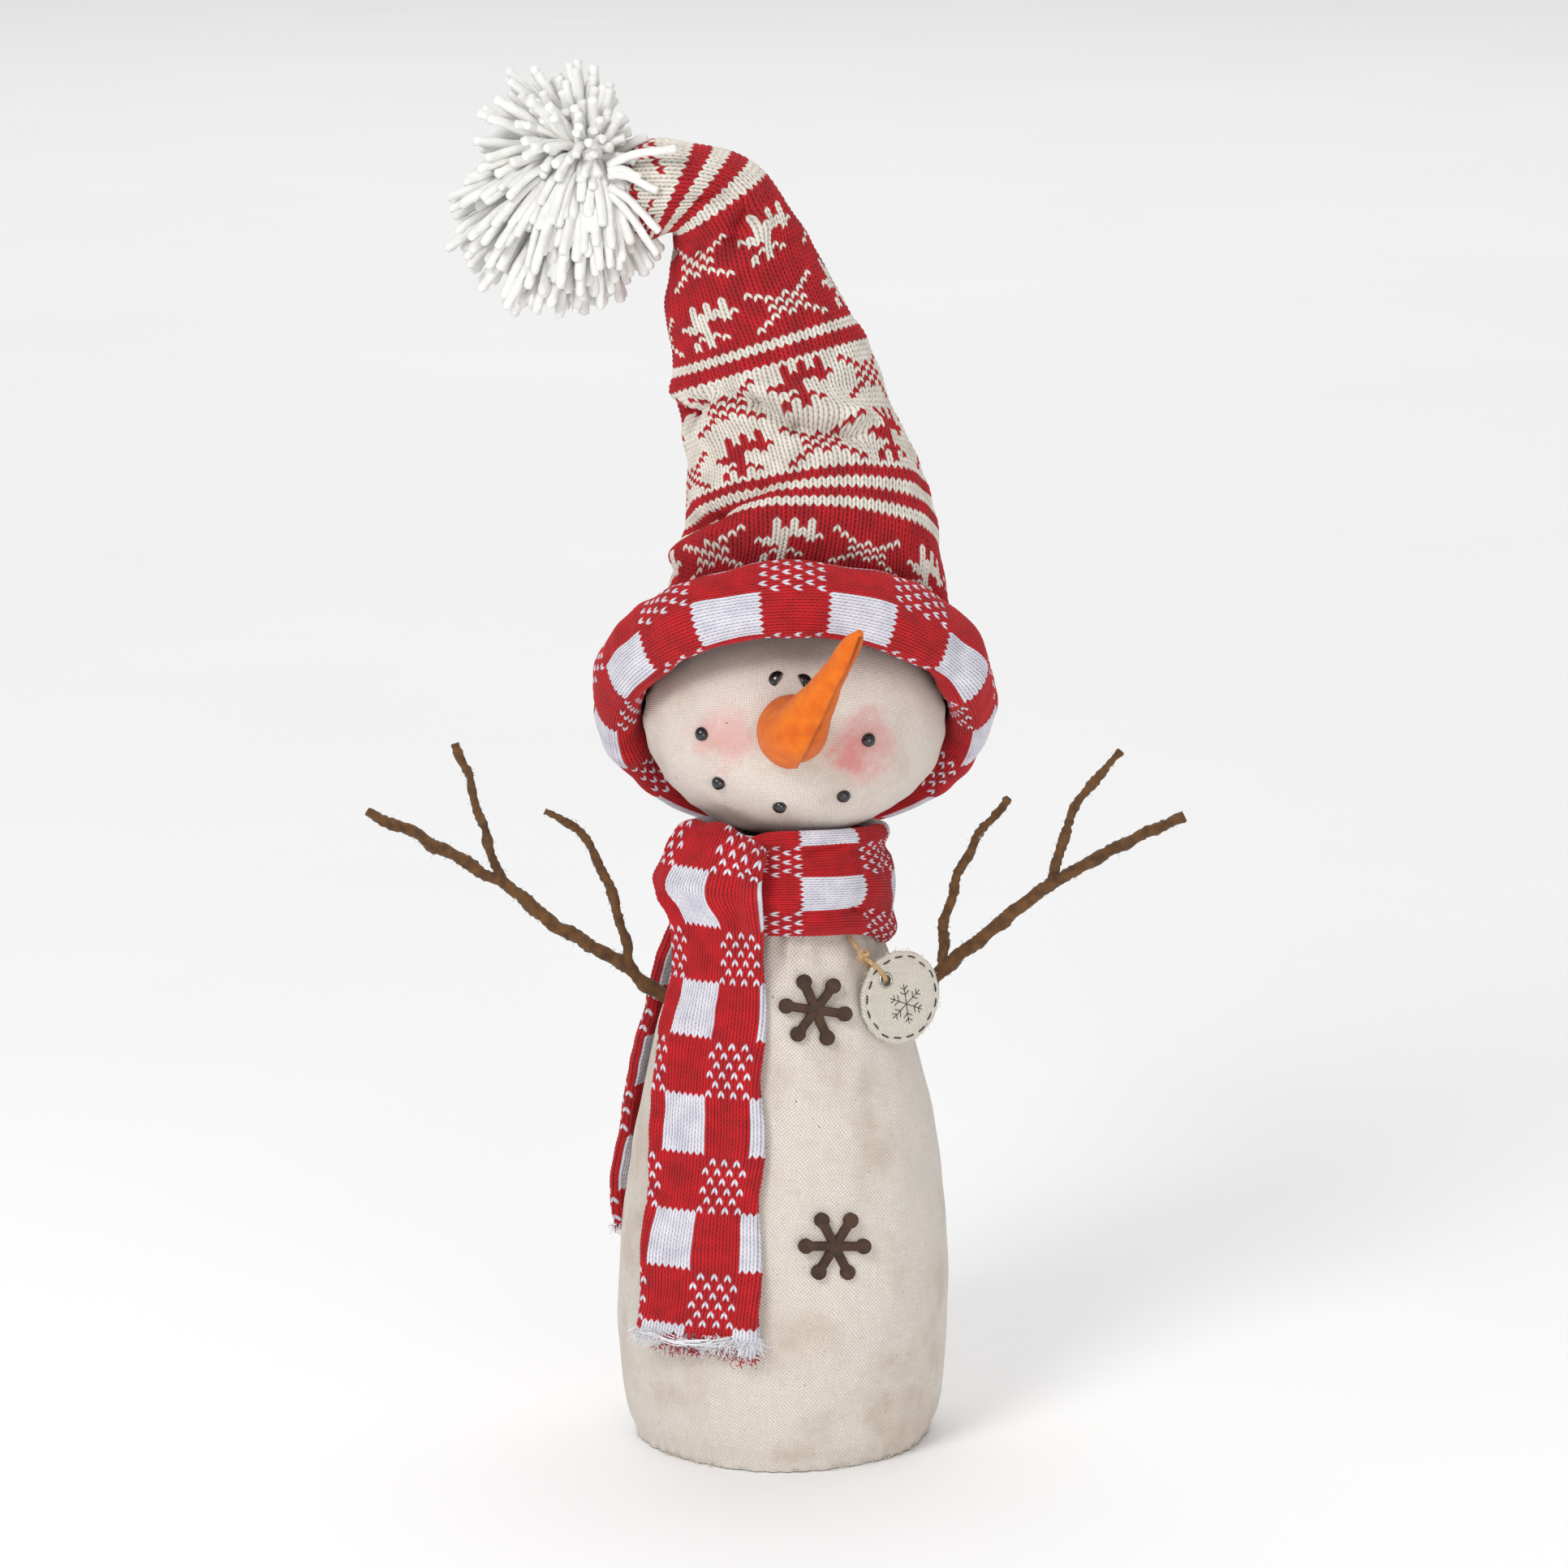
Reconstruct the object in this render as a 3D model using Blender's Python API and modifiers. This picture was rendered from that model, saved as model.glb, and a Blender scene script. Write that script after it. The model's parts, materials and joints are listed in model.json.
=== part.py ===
"""Stuffed fabric snowman figure with a knitted hat, a scarf and bendable twig arms.

Metres, +Z up. The origin is the middle of the base's underside, and the face looks towards -Y.
Sizes and places are written in millimetres and multiplied by MM.
"""

import math

import bmesh
import bpy
import numpy as np
from mathutils import Matrix, Vector

MM = 0.001
GAP = 0.3  # clearance between touching pieces
CANVAS = 0.8  # thickness of the canvas covers
KNIT = 1.4  # thickness of one knitted layer

# Body: a turned canvas cone with a stiff round base. Each pair is height, radius.
BODY_OUTLINE = [
    (0, 53), (7, 56), (22, 59), (45, 60.8), (70, 60.9), (101, 57.6), (125, 53.2), (147, 47.8), (173, 40.8),
    (188, 35.4), (204, 29.4), (229.4, 23.4),
]
BODY_SEGMENTS = 26
BASE_BOARD_RADIUS = 51.4
BASE_BOARD_THICKNESS = 2
WEIGHT_RADIUS = 49.5
WEIGHT_TOP = 33
FILLING_TOP = 225.4

# Head: a flattened canvas ball, open underneath where it is sewn to the neck.
HEAD_CENTRE = Vector((4, 0, 268))
HEAD_HALF = Vector((55, 45, 42))
HEAD_FACETS = (24, 10)  # round it and up it
HEAD_OPENING_HEIGHT = 229.6
BEAD_RADIUS = 2.55
BEAD_DEPTH = 2.2
# Each pair is where a bead sits on the face: x and height.
EYES = {"eye_left": (-2.4, 290.1), "eye_right": (6.8, 289.3)}
MOUTH = [(-29.2, 269.9), (-23.3, 252), (-1.5, 243.7), (21.2, 247.7), (30, 268.5)]

# Nose: sections of a felt cone that stands out of the face and then turns up.
# Each row is the section's centre, the way it faces, and its radius.
NOSE_SECTIONS = [
    ((3, -46.2, 273.8), (0, -1, 0.02), 12.6),
    ((3.4, -54.5, 273.6), (0.04, -1, 0.1), 12.6),
    ((6, -61, 277), (0.3, -0.8, 0.5), 10.4),
    ((11, -66, 286), (0.4, -0.45, 0.8), 7.6),
    ((18.5, -73, 300), (0.42, -0.4, 0.82), 4.9),
    ((26.3, -79.8, 314.6), (0.42, -0.4, 0.82), 2.1),
]
NOSE_FELT = 1.2

# Hat: the brim is a padded ring tilted back, and the crown a leaning, bending cone.
BRIM_CENTRE = Vector((4, 3, 275))
BRIM_TILT = 45  # degrees
BRIM_RADIUS = 64
BRIM_HALF_THICKNESS = 8.5
BRIM_HALF_WIDTH = 15
BRIM_OPEN_ANGLE = 70  # degrees of its section left open, where it is sewn to the crown
# Each row is a section's centre, the way it faces, and its half width across x and across the other way.
CROWN_SECTIONS = [
    ((4, 6, 278), (0, 0.707, 0.707), 56.2, 53),
    ((5, 14.3, 286.3), (0, 0.707, 0.707), 54.5, 52),
    ((8.4, 14.5, 312), (0.03, 0.595, 0.804), 50, 50.4),
    ((8.4, 11.5, 344), (-0.12, 0.42, 0.9), 43.5, 42.5),
    ((1.5, 8, 375.5), (-0.24, 0.26, 0.94), 38, 36.3),
    ((-6.7, 5, 404), (-0.29, 0.13, 0.95), 33, 30.5),
    ((-16, 1.8, 430.5), (-0.36, 0.05, 0.93), 27, 25),
    ((-21.5, 0.5, 451), (-0.45, 0, 0.893), 19.5, 20),
]
TIP_SECTIONS = [
    ((-25.5, 0, 458), (-0.66, 0, 0.75), 18, 19.4),
    ((-39.5, 0, 460.2), (-0.9, 0, 0.43), 19.4, 19.4),
    ((-50, 0, 460), (-1, 0, 0.02), 18, 18),
    ((-54.6, 0, 460), (-1, 0, 0), 13.5, 13.5),
    ((-57, 0, 460), (-1, 0, 0), 6.5, 6.5),
]
HAT_SEGMENTS = 22
TIP_SEGMENTS = 18
HAT_FOLD_HINGE = Vector((-38.8, 0, 444.6))
HAT_WIRE_ROUTE = [
    (8, 13, 316), (8.4, 12, 340), (2, 8, 374), (-6.5, 5, 403), (-15.5, 1.8, 429), (-20.5, 0.5, 449),
]
TIP_WIRE_ROUTE = [(-26.5, 0, 458.6), (-34, 0, 460.6), (-42, 0, 461), (-50, 0, 460.2)]
HAT_WIRE_RADIUS = 0.8

POMPOM_CENTRE = Vector((-90, 0, 459))
POMPOM_HALF = Vector((30.5, 34, 45.5))
POMPOM_HINGE = Vector((-57, 0, 460))
POMPOM_TIE_RADIUS = 1.5

# Scarf: a flat knitted tube, wound round the neck with a tail in front and one behind.
WRAP_LOW = 197
WRAP_HIGH = 227.6
WRAP_RADIUS = 40
WRAP_SLOPE = 0.12  # drop towards the back for each unit of y
SCARF_THICKNESS = 3.4
SCARF_CLEARANCE = 1.2
# Where the front tail comes over the wrap: reach from the middle, height.
FOLD_ROUTE = [(35.5, 230.4), (40.5, 234.2), (45.4, 231.4), (46.8, 223), (45.8, 210), (45, 201.4)]
FRONT_TAIL_TOP = 196.8
FRONT_TAIL_BOTTOM = 48
FRONT_TAIL_REACH = 43.6  # distance from the middle at its top
BACK_TAIL_TOP = 187
BACK_TAIL_BOTTOM = 71
BACK_TAIL_REACH = 43.6
BACK_TAIL_TURN = -128.5  # degrees round from the front
FRONT_TAIL_HINGE = Vector((-27.5, -34.6, 197.2))
BACK_TAIL_HINGE = Vector((-32.9, 26.2, 187.5))

# Snowflake buttons: x and height, turn in degrees, and the way each faces (round from the front, and up).
BUTTONS = {
    "snowflake_button_upper": (10.9, 169.5, -11, 14.8, 15.8),
    "snowflake_button_lower": (17.7, 86.5, -5, 17.2, 4.8),
}
BUTTON_ARMS = 6
BUTTON_BALL_REACH = 10.9
BUTTON_BALL_RADIUS = 2.7
BUTTON_ARM_HALF_WIDTH = 1.6
BUTTON_THICKNESS = 2.4

# Twig arms: hand-set routes of the wires inside them, from the shoulder out.
# Branches start just clear of the twig they fork from.
TWIG_ROUTES = {
    "arm_left": [(-47.6, -4, 168), (-56, -4, 175.4), (-78, -4, 189), (-101.6, -5, 207), (-128, -6, 223.4),
                 (-151, -7, 235.5)],
    "arm_left_inner_branch": [(-56.8, -4, 180.6), (-61.8, -3, 200.8), (-67.7, -2, 215.9), (-78, -1, 229.4),
                              (-86.9, 0, 234)],
    "arm_left_outer_branch": [(-103.4, -5, 212.5), (-107.6, -5, 222), (-112, -4, 240), (-119.3, -3, 259.6)],
    "arm_right": [(47.2, -2, 166.6), (54.5, -2, 172.2), (78, -3, 191.8), (97.8, -4, 207.8), (122.2, -5, 222),
                  (145.2, -6, 233.4)],
    "arm_right_inner_branch": [(57.4, -2, 180), (60.4, -1, 200.8), (66.3, 0, 215.9), (73.6, 1, 228),
                               (81.9, 2, 238.5)],
    "arm_right_outer_branch": [(98.4, -4, 213), (102.2, -3, 228), (110.4, -2, 243), (122.2, -1, 256.5)],
}
# Radius of each twig at its root and at its end.
TWIG_RADII = {"arm_left": (2.8, 1.9), "arm_right": (2.6, 1.9)}
BRANCH_RADII = (1.75, 1.5)
ROOT_WIRES = {
    "arm_left_root_wire": [(-22, -3, 152), (-34, -3.6, 159.2), (-47.2, -4, 167.7)],
    "arm_right_root_wire": [(22, -1, 152), (34, -1.6, 158.4), (46.8, -2, 166.3)],
}
TWIG_WIRE_RADIUS = 0.55
TWIG_BORE_RADIUS = 0.9
SHOULDER_HOLE_RADIUS = 1.3

# Tag: two canvas discs held together by an eyelet, on a twine that comes out under the scarf.
TAG_CENTRE = Vector((41.8, -27, 171))
TAG_RADIUS = 17
TAG_YAW = 35  # degrees round from the front
TAG_LEAN = 6  # degrees its face looks up
TAG_LAYER = 0.8
EYELET_PLACE = (-6.5, 7.2)  # across and up from the tag's middle
EYELET_HOLE_RADIUS = 1.95
EYELET_BARREL_RADIUS = 2.3
EYELET_FLANGE_RADIUS = 3.05
EYELET_METAL = 0.35
TWINE_RADIUS = 0.8
TWINE_START = Vector((23.6, -27.6, 193.2))
KNOT_PLACE = Vector((28.2, -33, 188))
TWINE_LOOP_RADIUS = 3
KNOT_RADIUS = 2
KNOT_STRAND_RADIUS = 0.8

COLOURS = {  # name: colour, roughness, metallic
    "canvas": ((0.70, 0.64, 0.56, 1), 0.9, 0),
    "stuffing": ((0.85, 0.85, 0.83, 1), 1, 0),
    "board": ((0.45, 0.34, 0.22, 1), 0.9, 0),
    "bead": ((0.012, 0.012, 0.014, 1), 0.18, 0),
    "orange_felt": ((0.86, 0.25, 0.02, 1), 0.95, 0),
    "hat_knit": ((0.48, 0.01, 0.02, 1), 0.9, 0),
    "scarf_knit": ((0.55, 0.01, 0.02, 1), 0.9, 0),
    "yarn": ((0.86, 0.86, 0.84, 1), 0.95, 0),
    "rusty_metal": ((0.07, 0.045, 0.03, 1), 0.6, 0.5),
    "brown_felt": ((0.15, 0.075, 0.025, 1), 0.95, 0),
    "steel_wire": ((0.5, 0.5, 0.5, 1), 0.35, 1),
    "eyelet_metal": ((0.75, 0.74, 0.7, 1), 0.3, 1),
    "jute": ((0.5, 0.33, 0.16, 1), 0.9, 0),
}


def clear_scene():
    for thing in list(bpy.data.objects):
        bpy.data.objects.remove(thing)


def new_collection(name):
    collection = bpy.data.collections.new(name)
    bpy.context.scene.collection.children.link(collection)
    return collection


def make_materials():
    made = {}
    for name, (colour, roughness, metallic) in COLOURS.items():
        material = bpy.data.materials.new(name)
        material.use_nodes = True
        shader = material.node_tree.nodes["Principled BSDF"]
        shader.inputs["Base Color"].default_value = colour
        shader.inputs["Roughness"].default_value = roughness
        shader.inputs["Metallic"].default_value = metallic
        made[name] = material
    return made


clear_scene()
PARTS = new_collection("fabric_snowman")
CUTTERS = new_collection("cutters")
MATERIALS = make_materials()


def add_object(name, data, material=None, collection=PARTS):
    thing = bpy.data.objects.new(name, data)
    collection.objects.link(thing)
    if material:
        data.materials.append(MATERIALS[material])
    return thing


def as_cutter(thing):
    PARTS.objects.unlink(thing)
    CUTTERS.objects.link(thing)
    thing.hide_render = True
    thing.display_type = "WIRE"
    return thing


def from_bmesh(name, bm, material):
    bmesh.ops.recalc_face_normals(bm, faces=bm.faces)
    mesh = bpy.data.meshes.new(name)
    bm.to_mesh(mesh)
    bm.free()
    mesh.shade_smooth()
    return add_object(name, mesh, material)


def thicken(thing, thickness, offset=-1):
    """Solidify: offset -1 grows a shell inwards, 0 to both sides."""
    shell = thing.modifiers.new("shell", "SOLIDIFY")
    shell.thickness = thickness * MM
    shell.offset = offset
    shell.use_even_offset = True
    return thing


def cut(thing, cutter):
    boolean = thing.modifiers.new("cut " + cutter.name, "BOOLEAN")
    boolean.operation = "DIFFERENCE"
    boolean.object = cutter
    return thing


def turned(name, profile, segments, material, closed=False):
    """A profile of (height, radius) pairs, top first, turned about Z. A closed profile makes a solid ring."""
    mesh = bpy.data.meshes.new(name)
    points = [(radius * MM, 0, height * MM) for height, radius in profile]
    edges = [(i, i + 1) for i in range(len(points) - 1)]
    if closed:
        edges.append((len(points) - 1, 0))
    mesh.from_pydata(points, edges, [])
    thing = add_object(name, mesh, material)
    screw = thing.modifiers.new("turn", "SCREW")
    screw.steps = screw.render_steps = segments
    screw.use_merge_vertices = True
    screw.merge_threshold = 0.00001
    return thing


def evaluated_mesh(thing):
    bpy.context.view_layer.update()
    return bpy.data.meshes.new_from_object(thing.evaluated_get(bpy.context.evaluated_depsgraph_get()))


def curve_points(points, steps=4):
    """A smooth (Catmull-Rom) curve through the points, with the given number of steps between each two."""
    knots = [2 * Vector(points[0]) - Vector(points[1])] + [Vector(p) for p in points]
    knots.append(2 * knots[-1] - knots[-2])
    smooth = []
    for a, b, c, d in zip(knots, knots[1:], knots[2:], knots[3:]):
        for i in range(steps):
            t = i / steps
            smooth.append(0.5 * (2 * b + (c - a) * t + (2 * a - 5 * b + 4 * c - d) * t * t
                                 + (3 * b - a - 3 * c + d) * t**3))
    return smooth + [knots[-2]]


def tube(name, points, radius_start, radius_end, material, resolution=1):
    """A round tube along the points, made a welded mesh so that it can be cut."""
    curve = bpy.data.curves.new(name, "CURVE")
    curve.dimensions = "3D"
    curve.bevel_depth = MM
    curve.bevel_resolution = resolution
    curve.use_fill_caps = True
    spline = curve.splines.new("POLY")
    spline.points.add(len(points) - 1)
    for i, point in enumerate(points):
        share = i / (len(points) - 1)
        spline.points[i].co = (*(Vector(point) * MM), 1)
        spline.points[i].radius = radius_start + (radius_end - radius_start) * share
    guide = bpy.data.objects.new(name + "_guide", curve)
    CUTTERS.objects.link(guide)
    mesh = evaluated_mesh(guide)
    bpy.data.objects.remove(guide)
    bm = bmesh.new()
    bm.from_mesh(mesh)
    bpy.data.meshes.remove(mesh)
    bmesh.ops.remove_doubles(bm, verts=bm.verts, dist=0.00001)
    return from_bmesh(name, bm, material)


def ball(name, centre, half, material, segments=16, rings=10, cut_height=None):
    """An ellipsoid, or the open part of one above cut_height."""
    bm = bmesh.new()
    bmesh.ops.create_uvsphere(bm, u_segments=segments, v_segments=rings, radius=MM)
    bmesh.ops.transform(bm, matrix=Matrix.Diagonal((*half, 1)), verts=bm.verts)
    bmesh.ops.translate(bm, vec=Vector(centre) * MM, verts=bm.verts)
    if cut_height is not None:
        everything = bm.verts[:] + bm.edges[:] + bm.faces[:]
        level = Vector((0, 0, cut_height * MM))
        bmesh.ops.bisect_plane(bm, geom=everything, plane_co=level, plane_no=(0, 0, 1), clear_inner=True)
    return from_bmesh(name, bm, material)


def loft(name, sections, material, segments, inset=0, caps=False):
    """A skin over elliptical sections. Each is a centre, the way it faces, and its two half sizes."""
    bm = bmesh.new()
    rings = []
    for centre, facing, half_x, half_y in sections:
        normal = Vector(facing).normalized()
        across = (Vector((1, 0, 0)) - normal * normal.x)
        if across.length < 0.3:
            across = Vector((0, 0, 1)) - normal * normal.z
        across.normalize()
        other = normal.cross(across)
        ring = []
        for i in range(segments):
            angle = 2 * math.pi * i / segments
            place = across * math.cos(angle) * (half_x - inset) + other * math.sin(angle) * (half_y - inset)
            ring.append(bm.verts.new((Vector(centre) + place) * MM))
        rings.append(ring)
    for low, high in zip(rings, rings[1:]):
        for i in range(segments):
            j = (i + 1) % segments
            bm.faces.new((low[i], low[j], high[j], high[i]))
    if caps:
        bm.faces.new(list(reversed(rings[0])))
        bm.faces.new(rings[-1])
    return from_bmesh(name, bm, material)


def shifted(sections, ends):
    """Sections whose first and last centre are moved along the way they face, to leave room at the ends."""
    rows = [list(row) for row in sections]
    for index, step in zip((0, -1), ends):
        rows[index][0] = Vector(rows[index][0]) + Vector(rows[index][1]).normalized() * step
    return rows


def strip(name, place, columns, rows, material):
    """A cloth strip: a grid whose points go where place(across, along) says, thickened to both sides."""
    bm = bmesh.new()
    bmesh.ops.create_grid(bm, x_segments=columns, y_segments=rows, size=0.5)
    for vertex in bm.verts:
        vertex.co = Vector(place(vertex.co.x, 0.5 - vertex.co.y)) * MM
    return thicken(from_bmesh(name, bm, material), SCARF_THICKNESS, 0)


def body_radius(height):
    heights, radii = zip(*BODY_OUTLINE)
    return float(np.interp(height, heights, radii))


def head_front(x, height):
    """The y of the head's front surface."""
    dx = (x - HEAD_CENTRE.x) / HEAD_HALF.x
    dz = (height - HEAD_CENTRE.z) / HEAD_HALF.z
    return HEAD_CENTRE.y - HEAD_HALF.y * math.sqrt(1 - dx * dx - dz * dz)


def head_normal(x, height):
    place = Vector((x, head_front(x, height), height)) - HEAD_CENTRE
    return Vector(place[i] / HEAD_HALF[i] ** 2 for i in range(3)).normalized()


def facing_matrix(centre, normal, turn=0):
    """Local +Z along normal, local +Y as near up as it can be, then turned about the normal."""
    normal = Vector(normal).normalized()
    across = Vector((0, 0, 1)).cross(normal).normalized()
    up = normal.cross(across)
    matrix = Matrix((across, up, normal)).transposed().to_4x4()
    return Matrix.Translation(Vector(centre) * MM) @ matrix @ Matrix.Rotation(math.radians(turn), 4, "Z")


def facing(round_from_front, up):
    """The direction that is the given degrees round from the front and up."""
    turn, lift = math.radians(round_from_front), math.radians(up)
    return Vector((math.sin(turn) * math.cos(lift), -math.cos(turn) * math.cos(lift), math.sin(lift)))


def make_base():
    cloth = [(CANVAS, 0), (CANVAS, BASE_BOARD_RADIUS), (0, BASE_BOARD_RADIUS), (0, 0)]
    turned("base_cover", cloth, 32, "canvas")
    low = CANVAS + GAP
    high = low + BASE_BOARD_THICKNESS
    board = [(high, 0), (high, BASE_BOARD_RADIUS), (low, BASE_BOARD_RADIUS), (low, 0)]
    turned("base_board", board, 28, "board")
    low = high + GAP
    middle = (low + WEIGHT_TOP) / 2
    bag = [
        (WEIGHT_TOP, 0), (WEIGHT_TOP, 30), (WEIGHT_TOP - 4, 44), (middle, WEIGHT_RADIUS), (low + 2, 46),
        (low, 40), (low, 0),
    ]
    turned("weight_bag", bag, 24, "stuffing")


def make_body():
    cover = turned("body_cover", list(reversed(BODY_OUTLINE)), BODY_SEGMENTS, "canvas")
    thicken(cover, CANVAS)
    inset = CANVAS + 3 * GAP
    bottom = WEIGHT_TOP + GAP
    heights = [h for h, _ in BODY_OUTLINE if bottom + 6 < h < FILLING_TOP - 6]
    side = [(h, body_radius(h) - inset) for h in reversed([bottom] + heights + [FILLING_TOP])]
    filling = turned("body_filling", [(FILLING_TOP, 0)] + side + [(bottom, 0)], BODY_SEGMENTS, "stuffing")
    for name, route in ROOT_WIRES.items():
        points = curve_points(route, 2)
        tube(name, points, TWIG_WIRE_RADIUS, TWIG_WIRE_RADIUS, "steel_wire")
        way = (points[-1] - points[-2]).normalized()
        back = (points[1] - points[0]).normalized()
        long_route = [points[0] - back] + points[1:] + [points[-1] + way * 6]
        hole = tube(name + "_hole", long_route, SHOULDER_HOLE_RADIUS, SHOULDER_HOLE_RADIUS, "stuffing")
        as_cutter(hole)
        cut(filling, hole)
        cut(cover, hole)


def make_head():
    cover = ball("head_cover", HEAD_CENTRE, HEAD_HALF, "canvas", *HEAD_FACETS, HEAD_OPENING_HEIGHT)
    thicken(cover, CANVAS)
    inset = CANVAS + 2 * GAP
    ball("head_filling", HEAD_CENTRE, HEAD_HALF - Vector((inset,) * 3), "stuffing", *HEAD_FACETS)


def bead(name, x, height):
    """Half a glossy ball with a flat back, glued on the face."""
    bm = bmesh.new()
    bmesh.ops.create_uvsphere(bm, u_segments=10, v_segments=8, radius=BEAD_RADIUS * MM)
    everything = bm.verts[:] + bm.edges[:] + bm.faces[:]
    level = (0, 0, 0.0001 * BEAD_RADIUS)
    halved = bmesh.ops.bisect_plane(bm, geom=everything, plane_co=level, plane_no=(0, 0, 1), clear_inner=True)
    rim = [e for e in halved["geom_cut"] if isinstance(e, bmesh.types.BMEdge)]
    bmesh.ops.edgeloop_fill(bm, edges=rim)
    bmesh.ops.transform(bm, matrix=Matrix.Diagonal((1, 1, BEAD_DEPTH / BEAD_RADIUS, 1)), verts=bm.verts)
    normal = head_normal(x, height)
    centre = Vector((x, head_front(x, height), height)) + normal * GAP
    bmesh.ops.transform(bm, matrix=facing_matrix(centre, normal), verts=bm.verts)
    from_bmesh(name, bm, "bead")


def make_face():
    for name, (x, height) in EYES.items():
        bead(name, x, height)
    for i, (x, height) in enumerate(MOUTH):
        bead(f"mouth_bead_{i + 1}", x, height)
    sections = [(centre, way, radius, radius) for centre, way, radius in NOSE_SECTIONS]
    thicken(loft("nose_cover", sections, "orange_felt", 16), NOSE_FELT)
    inside = shifted(sections[:-1], (1.5, 0))
    loft("nose_filling", inside, "stuffing", 12, NOSE_FELT + 2 * GAP, caps=True)


def make_brim():
    """The cuff's section is an open C, sewn to the crown on its inner side, with a roll of stuffing in it."""
    tilt = Matrix.Rotation(math.radians(BRIM_TILT), 4, "X").inverted()
    place = Matrix.Translation(BRIM_CENTRE * MM) @ tilt
    start = math.radians(180 + BRIM_OPEN_ANGLE / 2)
    sweep = 2 * math.pi - math.radians(BRIM_OPEN_ANGLE)
    steps = 8
    profile = []
    for i in range(steps + 1):
        angle = start + sweep * i / steps
        height = BRIM_HALF_WIDTH * math.sin(angle)
        profile.append((height, BRIM_RADIUS + BRIM_HALF_THICKNESS * math.cos(angle)))
    cover = turned("hat_brim", list(reversed(profile)), 28, "scarf_knit")
    thicken(cover, KNIT)
    cover.matrix_world = place
    half_width = BRIM_HALF_WIDTH - KNIT - 3 * GAP
    half_thickness = BRIM_HALF_THICKNESS - KNIT - 3 * GAP
    sides = 8
    ring = []
    for i in range(sides):
        angle = -2 * math.pi * i / sides
        ring.append((half_width * math.sin(angle), BRIM_RADIUS + half_thickness * math.cos(angle)))
    turned("hat_brim_filling", ring, 24, "stuffing", closed=True).matrix_world = place


def make_hat():
    inset = KNIT + 6 * GAP
    thicken(loft("hat_crown", CROWN_SECTIONS, "hat_knit", HAT_SEGMENTS), KNIT)
    inside = shifted(CROWN_SECTIONS[1:], (0, -1))
    filling = loft("hat_filling", inside, "stuffing", HAT_SEGMENTS, inset, caps=True)
    room = HEAD_HALF + Vector((3 * GAP,) * 3)
    cut(filling, as_cutter(ball("head_room", HEAD_CENTRE, room, "stuffing", *HEAD_FACETS)))
    thicken(loft("hat_tip", TIP_SECTIONS, "hat_knit", TIP_SEGMENTS), KNIT)
    tip_inside = shifted(TIP_SECTIONS[:4], (1, -2))
    tip_filling = loft("hat_tip_filling", tip_inside, "stuffing", TIP_SEGMENTS, inset, caps=True)
    wires = [("hat_wire", HAT_WIRE_ROUTE, filling), ("hat_tip_wire", TIP_WIRE_ROUTE, tip_filling)]
    bore_radius = HAT_WIRE_RADIUS + 2 * GAP
    for name, route, body in wires:
        points = curve_points(route, 2)
        tube(name, points, HAT_WIRE_RADIUS, HAT_WIRE_RADIUS, "steel_wire")
        start = points[0] + (points[0] - points[1]).normalized() * 5
        end = points[-1] + (points[-1] - points[-2]).normalized() * 5
        bore = tube(name + "_bore", [start] + points + [end], bore_radius, bore_radius, "stuffing")
        cut(body, as_cutter(bore))


def make_pompom():
    pompom = ball("pompom", POMPOM_CENTRE, POMPOM_HALF, "yarn", 18, 12)
    start = POMPOM_HINGE - Vector((0.4, 0, 0))
    end = POMPOM_CENTRE + Vector((2, 0, 0))
    tube("pompom_tie", [start, (start + end) / 2, end], POMPOM_TIE_RADIUS, POMPOM_TIE_RADIUS, "yarn")
    beyond = Vector((6, 0, 0))
    bore_radius = POMPOM_TIE_RADIUS + 2 * GAP
    through = [start + beyond, (start + end) / 2, end - beyond / 2]
    bore = tube("pompom_bore", through, bore_radius, bore_radius, "yarn")
    cut(pompom, as_cutter(bore))


def make_wrap():
    drop = WRAP_SLOPE * 2 * WRAP_RADIUS
    outside = [(WRAP_HIGH, 34), (WRAP_HIGH - 3, WRAP_RADIUS - 1.5), (WRAP_HIGH - 12, WRAP_RADIUS),
               (WRAP_LOW + 8, WRAP_RADIUS), (WRAP_LOW, WRAP_RADIUS - 1)]
    inside = []
    for height in (WRAP_LOW, WRAP_LOW + 10, WRAP_LOW + 20, WRAP_HIGH):
        inside.append((height, body_radius(height - drop) + 0.8))
    wrap = turned("scarf_wrap", outside + inside, 28, "scarf_knit", closed=True)
    shear = Matrix.Identity(4)
    shear[2][1] = -WRAP_SLOPE
    shear[2][3] = -WRAP_SLOPE * WRAP_RADIUS * MM
    wrap.data = evaluated_mesh(wrap)
    wrap.modifiers.clear()
    wrap.data.transform(shear)


def tail_reach(height, top_reach):
    """How far from the middle a hanging tail is: straight down from its top, then over the body."""
    over_body = body_radius(height) + SCARF_CLEARANCE + SCARF_THICKNESS / 2
    softness = 1.5
    return softness * math.log(math.exp(top_reach / softness) + math.exp(over_body / softness))


def on_curve(x, reach, height, turn=0, tightness=0.8):
    """A point of a tail that wraps a little less tightly than the body under it, which would be 1."""
    y = -math.sqrt(reach**2 - (tightness * x) ** 2)
    return Matrix.Rotation(math.radians(turn), 3, "Z") @ Vector((x, y, height))


def fold_place(across, along):
    reaches, heights = zip(*FOLD_ROUTE)
    stops = np.linspace(0, 1, len(FOLD_ROUTE))
    x = -27 + across * 38
    reach = float(np.interp(along, stops, reaches))
    return on_curve(x, reach, float(np.interp(along, stops, heights)), tightness=0.65)


def front_tail_place(across, along):
    height = FRONT_TAIL_TOP + (FRONT_TAIL_BOTTOM - FRONT_TAIL_TOP) * along
    x = -27.5 - 3.5 * along + across * (40 + 4 * along)
    return on_curve(x, tail_reach(height, FRONT_TAIL_REACH), height)


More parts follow.
